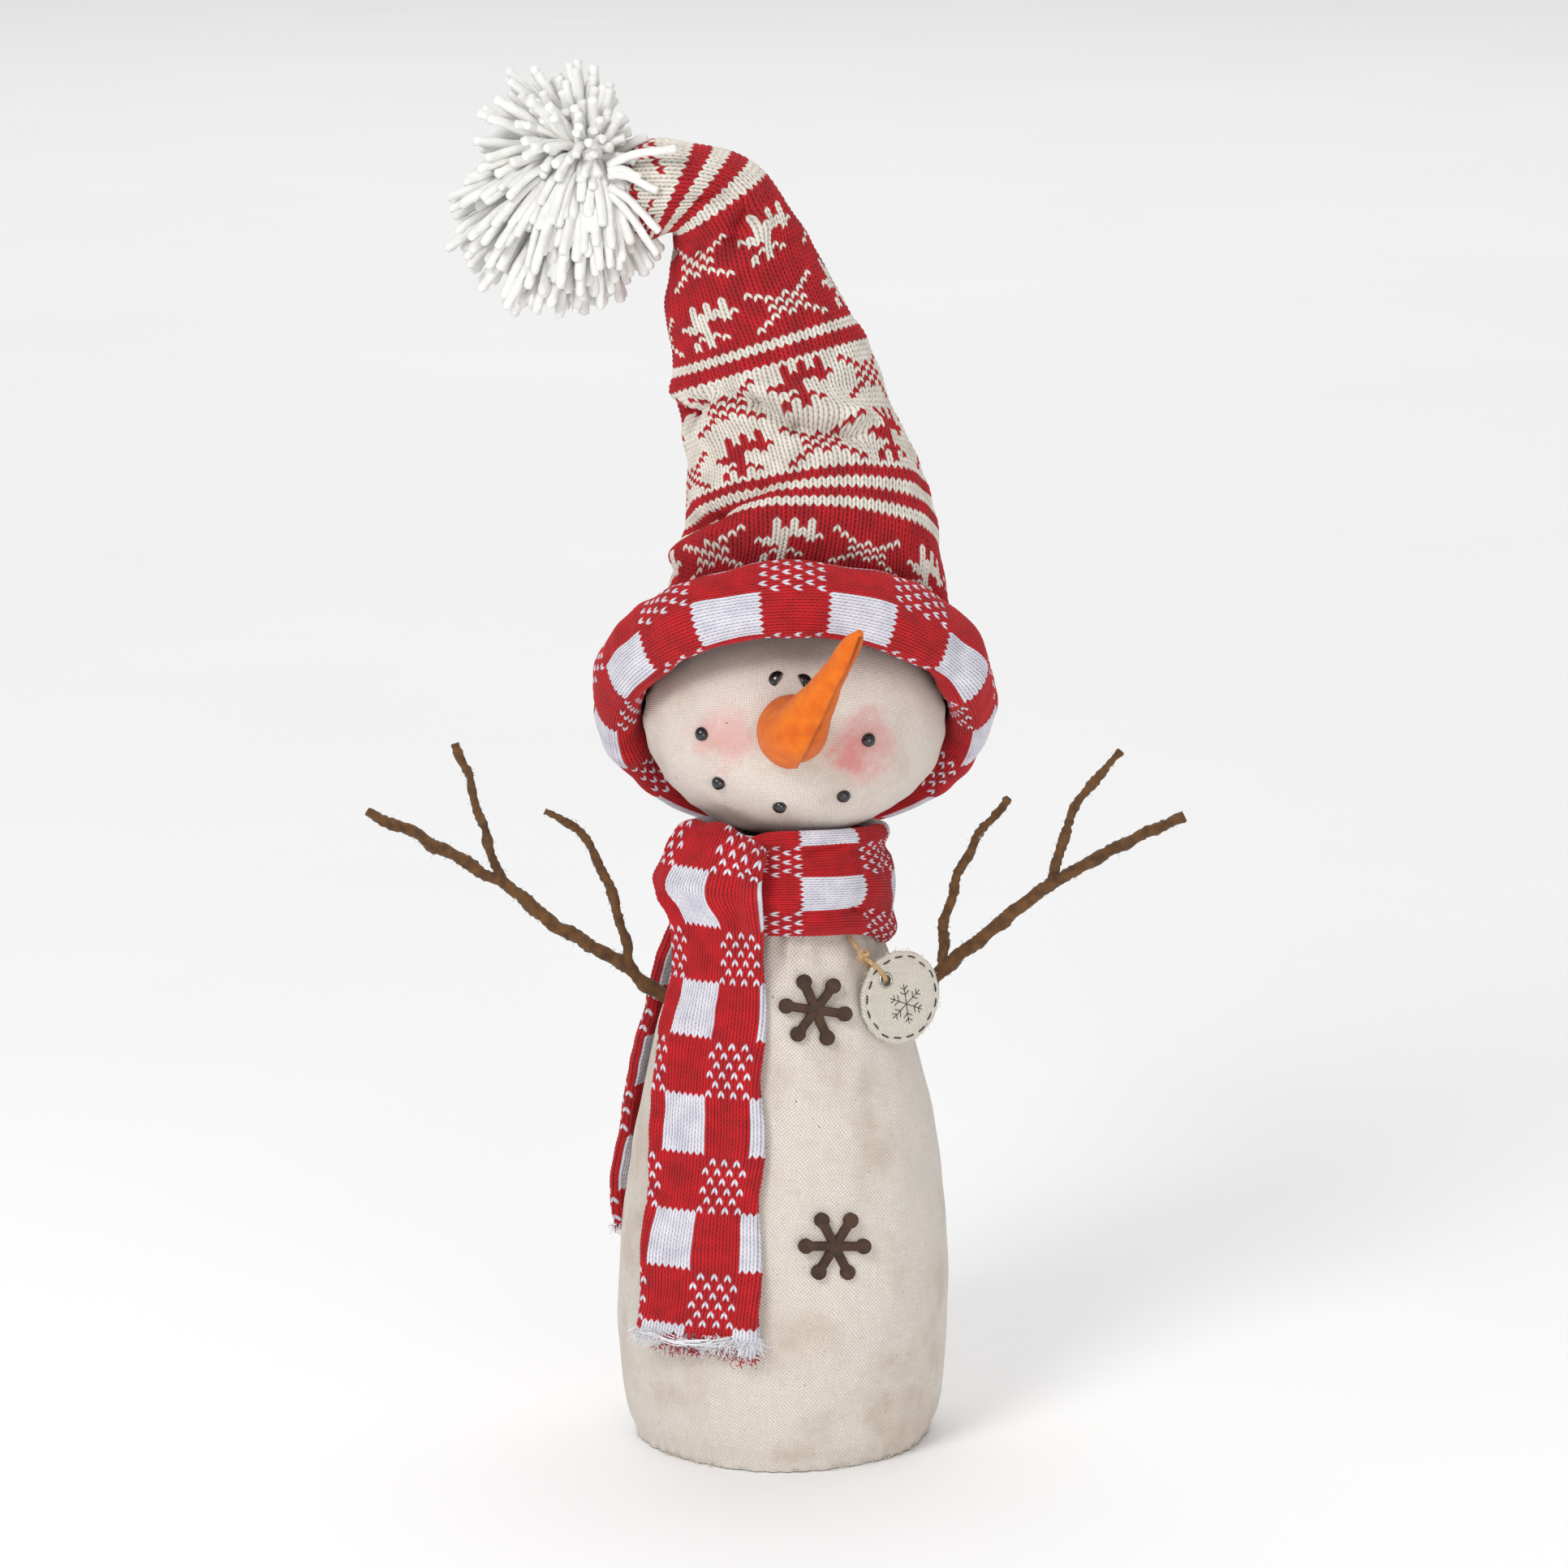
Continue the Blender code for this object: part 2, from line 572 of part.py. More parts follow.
def back_tail_place(across, along):
    height = BACK_TAIL_TOP + (BACK_TAIL_BOTTOM - BACK_TAIL_TOP) * along
    stand_off = 2.5 * math.sin(math.pi * along)
    reach = tail_reach(height, BACK_TAIL_REACH) + stand_off
    return on_curve(across * 40, reach, height, BACK_TAIL_TURN)


def make_scarf():
    make_wrap()
    strip("scarf_front_fold", fold_place, 4, 6, "scarf_knit")
    strip("scarf_front_tail", front_tail_place, 4, 10, "scarf_knit")
    strip("scarf_back_tail", back_tail_place, 4, 8, "scarf_knit")


def make_button(name, x, height, turn, round_from_front, up):
    """A flat snowflake: six arms with round ends, from one outline."""
    neck = math.asin(BUTTON_ARM_HALF_WIDTH / BUTTON_BALL_RADIUS)
    valley = BUTTON_ARM_HALF_WIDTH / math.sin(math.pi / BUTTON_ARMS)
    outline = []
    for arm in range(BUTTON_ARMS):
        spin = Matrix.Rotation(2 * math.pi * arm / BUTTON_ARMS, 2)
        between = -math.pi / BUTTON_ARMS
        outline.append(spin @ Vector((math.cos(between), math.sin(between))) * valley)
        for i in range(8):
            angle = -math.pi + neck + (2 * math.pi - 2 * neck) * i / 7
            end = Vector((BUTTON_BALL_REACH + BUTTON_BALL_RADIUS * math.cos(angle),
                          BUTTON_BALL_RADIUS * math.sin(angle)))
            outline.append(spin @ end)
    curve = bpy.data.curves.new(name, "CURVE")
    curve.dimensions = "2D"
    curve.fill_mode = "BOTH"
    curve.extrude = BUTTON_THICKNESS / 2 * MM
    spline = curve.splines.new("POLY")
    spline.use_cyclic_u = True
    spline.points.add(len(outline) - 1)
    for point, place in zip(spline.points, outline):
        point.co = (place.x * MM, place.y * MM, 0, 1)
    thing = add_object(name, curve, "rusty_metal")
    way = facing(round_from_front, up)
    y = -math.sqrt(body_radius(height) ** 2 - x * x)
    centre = Vector((x, y, height)) + way * (BUTTON_THICKNESS / 2 + 2 * GAP)
    thing.matrix_world = facing_matrix(centre, way, turn)


def make_twigs():
    """Each twig is felt wound round a wire, cut open at both ends."""
    for name, route in TWIG_ROUTES.items():
        points = curve_points(route, 2)
        start_radius, end_radius = TWIG_RADII.get(name, BRANCH_RADII)
        twig = tube(name + "_twig", points, start_radius, end_radius, "brown_felt")
        tube(name + "_wire", points, TWIG_WIRE_RADIUS, TWIG_WIRE_RADIUS, "steel_wire")
        start = points[0] + (points[0] - points[1]).normalized() * 2
        end = points[-1] + (points[-1] - points[-2]).normalized() * 2
        through = [start] + points + [end]
        bore = tube(name + "_bore", through, TWIG_BORE_RADIUS, TWIG_BORE_RADIUS, "brown_felt")
        cut(twig, as_cutter(bore))


def tag_directions():
    """Across, up and out of the tag's face."""
    out = facing(TAG_YAW, TAG_LEAN)
    across = Vector((0, 0, 1)).cross(out).normalized()
    return across, out.cross(across), out


def eyelet_centre():
    across, up, _ = tag_directions()
    return TAG_CENTRE + across * EYELET_PLACE[0] + up * EYELET_PLACE[1]


def make_tag():
    _, _, out = tag_directions()
    hole = add_object("eyelet_hole", bpy.data.meshes.new("eyelet_hole"), "canvas")
    bm = bmesh.new()
    radius = (EYELET_BARREL_RADIUS + GAP) * MM
    bmesh.ops.create_cone(bm, cap_ends=True, segments=20, radius1=radius, radius2=radius, depth=20 * MM)
    bmesh.ops.transform(bm, matrix=facing_matrix(eyelet_centre(), out), verts=bm.verts)
    bm.to_mesh(hole.data)
    bm.free()
    as_cutter(hole)
    for name, side in (("tag_front", 1), ("tag_back", -1)):
        bm = bmesh.new()
        radius = TAG_RADIUS * MM
        bmesh.ops.create_cone(bm, cap_ends=True, segments=32, radius1=radius, radius2=radius,
                              depth=TAG_LAYER * MM)
        middle = TAG_CENTRE + out * side * (TAG_LAYER + GAP) / 2
        bmesh.ops.transform(bm, matrix=facing_matrix(middle, out), verts=bm.verts)
        cut(from_bmesh(name, bm, "canvas"), hole)
    half = TAG_LAYER + GAP / 2 + GAP
    outer = half + EYELET_METAL
    profile = [
        (outer, EYELET_HOLE_RADIUS), (outer, EYELET_FLANGE_RADIUS), (half, EYELET_FLANGE_RADIUS),
        (half, EYELET_BARREL_RADIUS), (-half, EYELET_BARREL_RADIUS), (-half, EYELET_FLANGE_RADIUS),
        (-outer, EYELET_FLANGE_RADIUS), (-outer, EYELET_HOLE_RADIUS),
    ]
    eyelet = turned("tag_eyelet", profile, 20, "eyelet_metal", closed=True)
    eyelet.matrix_world = facing_matrix(eyelet_centre(), out)


def twine_route():
    """From under the scarf, through the knot and the eyelet, and back up behind to the knot."""
    _, _, out = tag_directions()
    eyelet = eyelet_centre()
    along = (KNOT_PLACE - eyelet).normalized()
    aside = (out - along * out.dot(along)).normalized()
    loop = TWINE_LOOP_RADIUS
    route = [TWINE_START, (TWINE_START + KNOT_PLACE) / 2, KNOT_PLACE, KNOT_PLACE - along * 3 + aside * 1.2]
    route.append(eyelet + along * 5.5 + aside * loop)
    for degrees in (0, 45, 90, 135, 180):
        angle = math.radians(degrees)
        route.append(eyelet + along * loop * (1 - math.sin(angle)) + aside * loop * math.cos(angle))
    route += [eyelet + along * 5.5 - aside * loop, KNOT_PLACE - along * 2 - aside * 1.6]
    return route


def make_twine():
    route = twine_route()
    tube("tag_twine", curve_points(route, 2), TWINE_RADIUS, TWINE_RADIUS, "jute", 2)
    along = (route[3] - route[1]).normalized()
    sides = 6
    ring = []
    for i in range(sides):
        angle = -2 * math.pi * i / sides
        reach = KNOT_RADIUS + KNOT_STRAND_RADIUS * math.cos(angle)
        ring.append((KNOT_STRAND_RADIUS * math.sin(angle), reach))
    turned("tag_knot", ring, 14, "jute", closed=True).matrix_world = facing_matrix(KNOT_PLACE, along)


def add_joint(name, place, pieces, parent=None):
    """An empty on a joint's axis, with the pieces that turn about it and their cutters under it."""
    joint = bpy.data.objects.new(name, None)
    PARTS.objects.link(joint)
    joint.location = Vector(place) * MM
    joint.empty_display_size = 10 * MM
    bpy.context.view_layer.update()
    for piece in pieces:
        thing = bpy.data.objects[piece]
        thing.parent = joint
        thing.matrix_parent_inverse = joint.matrix_world.inverted()
    if parent:
        holder = bpy.data.objects[parent]
        joint.parent = holder
        joint.matrix_parent_inverse = holder.matrix_world.inverted()


def make_joints():
    for name, route in TWIG_ROUTES.items():
        parent = None
        if name.endswith("_branch"):
            parent = "_".join(name.split("_")[:2]) + "_joint"
        add_joint(name + "_joint", route[0], [name + "_twig", name + "_wire", name + "_bore"], parent)
    tip = ["hat_tip", "hat_tip_filling", "hat_tip_wire", "hat_tip_wire_bore"]
    add_joint("hat_fold_joint", HAT_FOLD_HINGE, tip)
    add_joint("pompom_joint", POMPOM_HINGE, ["pompom", "pompom_tie", "pompom_bore"], "hat_fold_joint")
    add_joint("front_tail_joint", FRONT_TAIL_HINGE, ["scarf_front_tail"])
    add_joint("back_tail_joint", BACK_TAIL_HINGE, ["scarf_back_tail"])
    add_joint("twine_joint", TWINE_START, ["tag_twine", "tag_knot"])
    tag = ["tag_front", "tag_back", "tag_eyelet", "eyelet_hole"]
    add_joint("tag_joint", eyelet_centre(), tag, "twine_joint")


make_base()
make_body()
make_head()
make_face()
make_hat()
make_brim()
make_pompom()
make_scarf()
for button_name, button_place in BUTTONS.items():
    make_button(button_name, *button_place)
make_twigs()
make_tag()
make_twine()
make_joints()
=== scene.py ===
"""Looks of the fabric snowman: knitted hat and scarf, canvas body, felt nose, yarn pompom, twigs and tag.

Lengths are in millimetres in the CAD model's frame. They are multiplied by MM when a mesh is made.
"""

import contextlib
import json
import math

import bmesh
import bpy
import numpy as np
from mathutils import Matrix, Vector


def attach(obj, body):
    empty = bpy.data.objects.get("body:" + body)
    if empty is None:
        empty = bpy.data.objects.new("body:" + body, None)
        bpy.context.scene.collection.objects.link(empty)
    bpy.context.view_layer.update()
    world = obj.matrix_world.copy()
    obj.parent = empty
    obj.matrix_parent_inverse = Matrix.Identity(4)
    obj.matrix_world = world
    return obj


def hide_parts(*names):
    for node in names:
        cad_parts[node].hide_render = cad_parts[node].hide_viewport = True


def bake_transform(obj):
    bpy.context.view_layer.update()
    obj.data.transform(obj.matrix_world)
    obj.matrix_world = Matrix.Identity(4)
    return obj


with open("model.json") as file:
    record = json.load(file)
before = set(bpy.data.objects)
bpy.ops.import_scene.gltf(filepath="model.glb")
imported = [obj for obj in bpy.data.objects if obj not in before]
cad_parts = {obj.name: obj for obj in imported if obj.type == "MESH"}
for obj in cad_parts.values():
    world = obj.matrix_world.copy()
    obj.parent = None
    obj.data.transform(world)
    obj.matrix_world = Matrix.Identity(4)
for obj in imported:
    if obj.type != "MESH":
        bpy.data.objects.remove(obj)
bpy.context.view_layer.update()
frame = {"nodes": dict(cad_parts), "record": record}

MM = 0.001
UP = np.array([0.0, 0.0, 1.0])

# Camera
CAMERA_AIM = Vector((0, 0, 0.244))
CAMERA_ELEVATION = 12  # degrees
CAMERA_DISTANCE = 2.4  # metres
CAMERA_LENS = 151.8
FLOOR_HALF = 9000
FLOOR_HEIGHT = -0.05

# Stitches: each has two legs that lean apart. Quads across a leg and along it, and how far it stands out.
LEG_QUADS = 3
COURSE_QUADS = 3
STITCH_RELIEF = 0.5
LEAN = 0.9  # how far a leg rises over its course, in courses

BODY_OUTLINE = [  # height, radius
    (0, 53), (7, 56), (22, 59), (45, 60.8), (70, 60.9), (101, 57.6), (125, 53.2), (147, 47.8), (173, 40.8),
    (188, 35.4), (204, 29.4), (229.4, 23.4),
]
BASE_HEM_RADIUS = 53.2
OTHER_PANEL = 300.0  # how far off the back panel's flat cloth lies, so that its weave differs
# Each is a line's two ends, how far it stands out (or in, if negative), and its width.
ARM_DIPS = [((-44, -4, 164), (-43, -4, 163), -1.6, 4.5), ((43, -2, 163), (42, -2, 162), -1.6, 4.5)]
BODY_CREASES = [
    ((30, -28, 196), (33, -30, 172), -1.1, 4), ((22, -34, 190), (30, -40, 150), 0.9, 5),
    ((-12, -33, 190), (4, -46, 150), 0.6, 6), ((40, -30, 120), (54, -20, 100), -0.6, 7),
]
HEAD_CENTRE = np.array([4.0, 0.0, 268.0])
HEAD_HALF = np.array([55.0, 45.0, 42.0])
BEADS = {  # x, height
    "eye_left": (-2.4, 290.1), "eye_right": (6.8, 289.3),
    "mouth_bead_1": (-29.2, 269.9), "mouth_bead_2": (-23.3, 252), "mouth_bead_3": (-1.5, 243.7),
    "mouth_bead_4": (21.2, 247.7), "mouth_bead_5": (30, 268.5),
}
EYES = {"eye_left": -28, "eye_right": 205}  # half-moon beads: which way the cut side faces, in degrees
BEAD_RADIUS = 2.55
BEAD_DEPTH = 2.3
BEAD_RISE = 0.35  # of its middle over the head
EYE_SIZE = 1.2  # against the mouth's beads
EYE_CUT = 0.7  # from the middle to the cut side

# Sections of the nose and the hat: centre, the way it faces, half size across x, half size the other way.
NOSE_SECTIONS = [
    ((3, -42.5, 273.8), (0, -1, 0.02), 11.8, 11.8),
    ((3, -46.5, 273.8), (0, -1, 0.02), 12.4, 12.4),
    ((3.4, -54.5, 273.6), (0.04, -1, 0.1), 12.4, 12.2),
    ((6, -61, 277), (0.3, -0.8, 0.5), 10.6, 10.2),
    ((11, -66, 286), (0.4, -0.45, 0.8), 7.8, 7.4),
    ((18.5, -73, 300), (0.42, -0.4, 0.82), 4.9, 4.9),
    ((25.3, -78.9, 312.8), (0.42, -0.4, 0.82), 2.6, 2.6),
    ((26.3, -79.8, 314.6), (0.42, -0.4, 0.82), 1.5, 1.5),
]
NOSE_SEAM = [(0, 12), (0.3, 2), (0.8, 4), (1, -16)]  # share of its length, degrees round from its front
NOSE_LAP = 0.12 * 2 * math.pi
NOSE_EDGE = [(1.004, 0.35), (1.0, 1.0), (0.985, 1.15), (0.96, 1.2)]  # share of its turn, thicknesses inward
FELT_THICKNESS = 2.6
HAT_SECTIONS = [
    ((4, 6, 278), (0, 0.707, 0.707), 56.2, 53),
    ((5, 14.3, 286.3), (0, 0.707, 0.707), 54.5, 52),
    ((8.4, 14.5, 312), (0.03, 0.595, 0.804), 50, 50.4),
    ((8.4, 11.5, 344), (-0.12, 0.42, 0.9), 43.5, 42.5),
    ((1.5, 8, 375.5), (-0.24, 0.26, 0.94), 38, 36.3),
    ((-6.7, 5, 404), (-0.29, 0.13, 0.95), 33, 30.5),
    ((-16, 1.8, 430.5), (-0.36, 0.05, 0.93), 27, 25),
    ((-21.5, 0.5, 451), (-0.45, 0, 0.893), 19.5, 20),
    ((-25.5, 0, 458), (-0.66, 0, 0.75), 18, 19.4),
    ((-39.5, 0, 460.2), (-0.9, 0, 0.43), 19.4, 19.4),
    ((-50, 0, 460), (-1, 0, 0.02), 18, 18),
    ((-54.6, 0, 460), (-1, 0, 0), 13.5, 13.5),
    ((-57, 0, 460), (-1, 0, 0), 6.5, 6.5),
]
HAT_WALE = 3.1
HAT_COURSE = 1.65  # along the front
HAT_RELIEF = 0.8
HAT_PIECES = [("hat_knit_lower", 0, 31), ("hat_knit_middle", 31, 60), ("hat_knit_upper", 60, 88),
              ("hat_knit_tip", 88, 115)]
# As the body's creases.
HAT_FOLDS = [
    ((-25, -20, 391), (-11, -26, 388), -2.8, 2.4),
    ((-11, -26, 388), (4, -28, 380), -4.6, 2.6),
    ((4, -28, 380), (25, -21, 375), -4.6, 2.8),
    ((-14, -25, 396), (3, -29, 389), 3.4, 4.5),
    ((3, -29, 389), (24, -22, 382), 5.6, 4.6),
    ((24, -22, 382), (34, -14, 378), 3.8, 4),
    ((-8, -25, 402), (15, -26, 396), -1.8, 3),
    ((15, -26, 396), (33, -14, 389), -2, 3),
    ((-22, -20, 384), (-4, -27, 380), 3, 4),
    ((2, -27, 371), (26, -20, 367), 3.4, 4.5),
    ((-38, 2, 381), (-33, -9, 380), -5.2, 3.2),
    ((-33, -9, 380), (-27, -17, 386), -3, 2.6),
    ((-38, -2, 389), (-30, -14, 391), 2.8, 4),
    ((-37, -4, 372), (-27, -17, 375), 2.2, 4),
    ((-37, 0, 337), (-25, -16, 345), -5, 2.8),
    ((-25, -16, 345), (-8, -26, 357), -3.4, 2.8),
    ((-8, -26, 357), (5, -28, 362), -1.4, 3),
    ((-38, 0, 328), (-24, -18, 337), 4.8, 5),
    ((-24, -18, 337), (-4, -28, 350), 3.4, 5),
    ((-34, -6, 351), (-16, -23, 361), 1.6, 4),
    ((30, 24, 372), (-10, 40, 380), -3.6, 4),
    ((32, 24, 384), (-8, 38, 390), 3.2, 6),
    ((-34, 26, 405), (4, 36, 398), -3.2, 4),
    ((30, 30, 330), (-20, 50, 318), -2.4, 6),
    ((-36, 6, 446), (-20, 19, 455), -3.4, 3),
    ((-41, -14, 452), (-30, -18, 459), -2.2, 2),
    ((-30, -18, 459), (-17, -19, 462), -3.6, 2.2),
    ((-37, -12, 448), (-22, -19, 454), 2.6, 3.8),
    ((-40, 1, 437), (-30, -15, 439), -3, 2.2),
    ((-30, -15, 439), (-16, -21, 445.5), -4.4, 2.4),
    ((-17, -19, 450), (-13, -18, 455), -4.4, 3.2),
    ((-11, -17, 462), (-7, -18, 450), 2, 3.2),
    ((-7, -18, 450), (-10, -20, 443), 1.6, 3.2),
    ((-32, -14, 432), (-14, -22, 438), 1.6, 4),
]

BRIM_CENTRE = np.array([4.0, 3.0, 275.0])
BRIM_TILT = 45
BRIM_RADIUS = 64
BRIM_HALF_THICKNESS = 8.5
BRIM_HALF_WIDTH = 15
BRIM_EDGES = (-172, 146)  # degrees from the outermost line of its section to its face and crown edges
BRIM_WALE = 2.35
BRIM_BLOCKS = 18
BRIM_FIRST_WALE = 7

POMPOM_CENTRE = np.array([-70.0, -3.0, 471.0])
STRAND_RADIUS = 1.75
STRANDS = 600
STRAND_PLACES = np.concatenate([np.linspace(0, 0.93, 11), [0.965, 0.99, 1.0]])
GOLDEN_ANGLE = math.pi * (3 - math.sqrt(5))
STRAND_END = (1.04, 0.85, 0.4)  # how thick it is at its last three places
STRAYS = [(6, 27), (-1, 18), (-9, 22), (-14, 25), (2, 12)]  # strands over the hat's tip: height, reach

WRAP_SLOPE = 0.12
WRAP_RADIUS = 40
WRAP_PROFILE = [  # radius, height, from the inner top edge over the outside to the inner bottom edge
    (27, 229), (31.5, 233.8), (35.6, 234.2), (38.2, 230.8), (36.6, 226), (38.7, 222), (40.8, 214),
    (40.7, 206), (39.9, 199.6), (37.6, 196.8), (33.5, 198.5),
]
WRAP_FOLDS = [  # as the body's creases
    ((-8, -38, 228), (25, -31, 227.5), -2.4, 2.2), ((0, -39, 222.5), (26, -31, 223.5), 1.2, 3.2),
    ((7, -39, 203), (27, -30, 204), -2, 2.2), ((27, -30, 204), (34, -23, 200), -1.6, 2.2),
    ((9, -39, 199), (29, -29, 199.5), 1.5, 2.8), ((-4, -41, 211), (24, -33, 210), 1, 5),
    ((36, -14, 214), (39, -6, 207), -1.6, 4), ((-10, 39, 214), (24, 33, 208), -1.6, 3),
    ((-30, 28, 222), (-8, 39, 219), 1.4, 4),
]
WRAP_BLOCKS = 10
WRAP_WALE = 1.75
BLOCK_WALES = 7
BLOCK_COURSES = 12

SCARF_ROUND = 82.0  # round the knitted tube, which lies half as wide
SCARF_WALES = 38
SCARF_WALE = SCARF_ROUND / SCARF_WALES
SCARF_COURSE = 1.72
SCARF_THICKNESS = 4.4
# The front tail from behind its fold to its end: reach from the middle, height, middle x, width, how tightly
# it curves round the body.
FRONT_ROUTE = [
    (33.5, 226.5, -22, 29, 0.95), (36.5, 231.4, -22.3, 30, 0.94), (40.2, 234.4, -22.5, 30.5, 0.93),
    (43.8, 232, -23.8, 33, 0.92), (45.4, 223, -25.6, 37, 0.92), (45.4, 212, -26.4, 38.4, 0.92),
    (44.8, 201, -22.9, 32.2, 0.9), (44.2, 190, -23.3, 32.5, 0.88), (44.6, 175, -24.6, 34.8, 0.86),
    (48.6, 158, -25.9, 37.4, 0.84), (53.3, 140, -27, 39, 0.82), (58.2, 118, -28, 40, 0.8),
    (62, 95, -29, 41.3, 0.8), (64.2, 72, -30, 43, 0.8), (64, 52, -31, 44, 0.8), (63.4, 43.5, -31, 43.5, 0.8),
]
BACK_ROUTE = [
    (32.5, 208, -1, 33, 0.9), (35.6, 200, -1, 34, 0.9), (39.2, 190, 0, 35, 0.86), (44.6, 175, 1, 37, 0.82),
    (49.3, 158, 1, 38.5, 0.8), (54.5, 140, 0, 39.5, 0.8), (60, 118, -1, 40, 0.8), (64.3, 95, 0, 40, 0.8),
    (64.6, 80, 1, 40, 0.8), (64, 68.5, 0, 40, 0.8),
]
BACK_TURN = -128.5
SCARF_FOLDS = [  # as the body's creases
    ((-11, -46, 231), (-10, -44, 204), 2.4, 4.2),
    ((-20, -47, 231), (-17, -45, 204), -1.7, 3.2),
    ((-43, -34, 226), (-41, -36, 206), 1.8, 4.5),
    ((-38, -38, 228), (-34, -40, 200), -2.0, 2.8),
    ((-27, -44, 228), (-26, -43, 208), 1.6, 5),
    ((-30, -44, 226), (-30, -42, 206), 1.3, 4),
    ((-36, -34, 206), (-30, -40, 196), -1.5, 4),
    ((-14, -42, 200), (-15, -42, 186), -1.4, 3),
    ((-22, -44, 196), (-24, -45, 172), 1.3, 4.5),
    ((-40, -38, 168), (-42, -42, 140), 1.2, 5),
    ((-15, -52, 150), (-16, -58, 118), 1.2, 4),
    ((-32, -55, 132), (-34, -60, 92), -0.9, 5),
]

BUTTONS = {  # x, height, turn, the way it faces: round from the front, up
    "snowflake_button_upper": (10.9, 169.5, -11, 14.8, 15.8),
    "snowflake_button_lower": (17.7, 86.5, -5, 17.2, 4.8),
}
BUTTON_THICKNESS = 2.4
BUTTON_ARMS = 6
BUTTON_REACH = 10.9  # from its middle to the middle of an arm's round end
BUTTON_BALL_RADIUS = 2.75
BUTTON_ARM_HALF = 1.6

TWIG_ROUTES = {
    "arm_left": [(-36, -4, 160.4), (-42, -4, 164.4), (-47.6, -4, 168), (-56, -4, 175.4), (-78, -4, 189),
                 (-101.6, -5, 207), (-128, -6, 223.4), (-151, -7, 235.5)],
    "arm_left_inner_branch": [(-57.4, -4, 176.6), (-57.4, -4, 181), (-61.8, -3, 200.8), (-67.7, -2, 215.9),
                              (-78, -1, 229.4), (-86.9, 0, 234)],
    "arm_left_outer_branch": [(-101.8, -5, 207.2), (-103.4, -5, 212.5), (-107.6, -5, 222), (-112, -4, 240),
                              (-119.3, -3, 259.6)],
    "arm_right": [(35, -2, 158), (41, -2, 162), (47.2, -2, 166.6), (54.5, -2, 172.2), (78, -3, 191.8),
                  (97.8, -4, 207.8), (122.2, -5, 222), (145.2, -6, 233.4)],
    "arm_right_inner_branch": [(57.6, -2, 175), (57.6, -2, 180.4), (60.4, -1, 200.8), (66.3, 0, 215.9),
                               (73.6, 1, 228), (81.9, 2, 238.5)],
    "arm_right_outer_branch": [(97.4, -4, 207.6), (98.4, -4, 213), (102.2, -3, 228), (110.4, -2, 243),
                               (122.2, -1, 256.5)],
}
TWIG_RADII = {"arm_left": (2.9, 1.9), "arm_right": (2.75, 1.9)}
BRANCH_RADII = (1.9, 1.5)

TAG_CENTRE = Vector((41.8, -27, 171))
TAG_RADIUS = 17
TAG_YAW = 35
TAG_LEAN = 6
TAG_HALF_THICKNESS = 0.95
TAG_STITCH_RADIUS = 14.9
TAG_STITCHES = 17
TAG_FRAY_RADIUS = 16.7
DRAWING_CENTRE = np.array([1.8, -2.6])
DRAWING_REACH = 7.4
EYELET_PLACE = (-6.5, 7.2)
EYELET_HOLE_RADIUS = 1.95
EYELET_FLANGE_RADIUS = 3.05
EYELET_HALF_HEIGHT = 1.6
TWINE_START = Vector((23.6, -27.6, 193.2))
KNOT_PLACE = Vector((28.2, -33, 188))
TWINE_LOOP_RADIUS = 3
TWINE_TWIST = 68  # degrees for each mm

# Motifs of the hat, upright: # is the motif's yarn. The hat is cut from its knit with the top course below.
DEER = [
    ".#.#....",
    ".#.#.#..",
    "..###...",
    "...#....",
    ".###....",
    "####..#.",
    "..######",
    "..#####.",
    "..#.#.#.",
    "..#.#.#.",
]
FLAKE_HALF = [  # the lower half mirrors it
    "#.......#",
    ".#.....#.",
    "..#.#.#..",
    "...#.#...",
    "..#.#.#..",
]
MOTIF_REPEAT = 19  # wales: a deer, a gap, a flake and a gap


def unit(vectors):
    return vectors / np.maximum(np.linalg.norm(vectors, axis=-1, keepdims=True), 1e-12)


def smooth(stops, rows, at):
    """A smooth curve through the rows, one for each stop, read at any places."""
    stops, rows, at = np.asarray(stops, float), np.asarray(rows, float), np.asarray(at, float)
    step = np.diff(stops)
    slope = np.diff(rows, axis=0) / step[:, None]
    before, after = step[:-1, None], step[1:, None]
    inner = (slope[:-1] * after + slope[1:] * before) / (before + after)
    tangent = np.vstack([slope[:1], inner, slope[-1:]])
    low = np.clip(np.searchsorted(stops, at, side="right") - 1, 0, len(step) - 1)
    wide = step[low][..., None]
    t = (at - stops[low])[..., None] / wide
    start = (2 * t**3 - 3 * t**2 + 1) * rows[low] + (t**3 - 2 * t**2 + t) * tangent[low] * wide
    end = (3 * t**2 - 2 * t**3) * rows[low + 1] + (t**3 - t**2) * tangent[low + 1] * wide
    return start + end


def polar(radius, angle, *more):
    """Points at a radius and an angle, with any more coordinates after those two."""
    return np.stack(np.broadcast_arrays(radius * np.cos(angle), radius * np.sin(angle), *more), -1)


def upright(radius, turn, height):
    """Points at a radius from the figure's upright middle line, turned from the front, at a height."""
    return np.stack(np.broadcast_arrays(radius * np.sin(turn), -radius * np.cos(turn), height), -1)


def distances_along(points):
    return np.concatenate([[0], np.cumsum(np.linalg.norm(np.diff(points, axis=0), axis=1))])


def ripple(points, size, seed, waves=10):
    """Smooth irregular heights, about -1 to 1, with features of about the given size."""
    draw = np.random.default_rng(seed)
    ways = unit(draw.normal(size=(waves, 3))) * (2 * math.pi / (size * draw.uniform(1, 2.4, (waves, 1))))
    phases = draw.uniform(0, 2 * math.pi, waves)
    return np.sin(points @ ways.T + phases).sum(-1) / math.sqrt(waves)


def lumps(points, seed, *waves):
    """Sums of ripples, each given by its height and size. The seed goes up by one for each."""
    return sum(height * ripple(points, size, seed + i) for i, (height, size) in enumerate(waves))


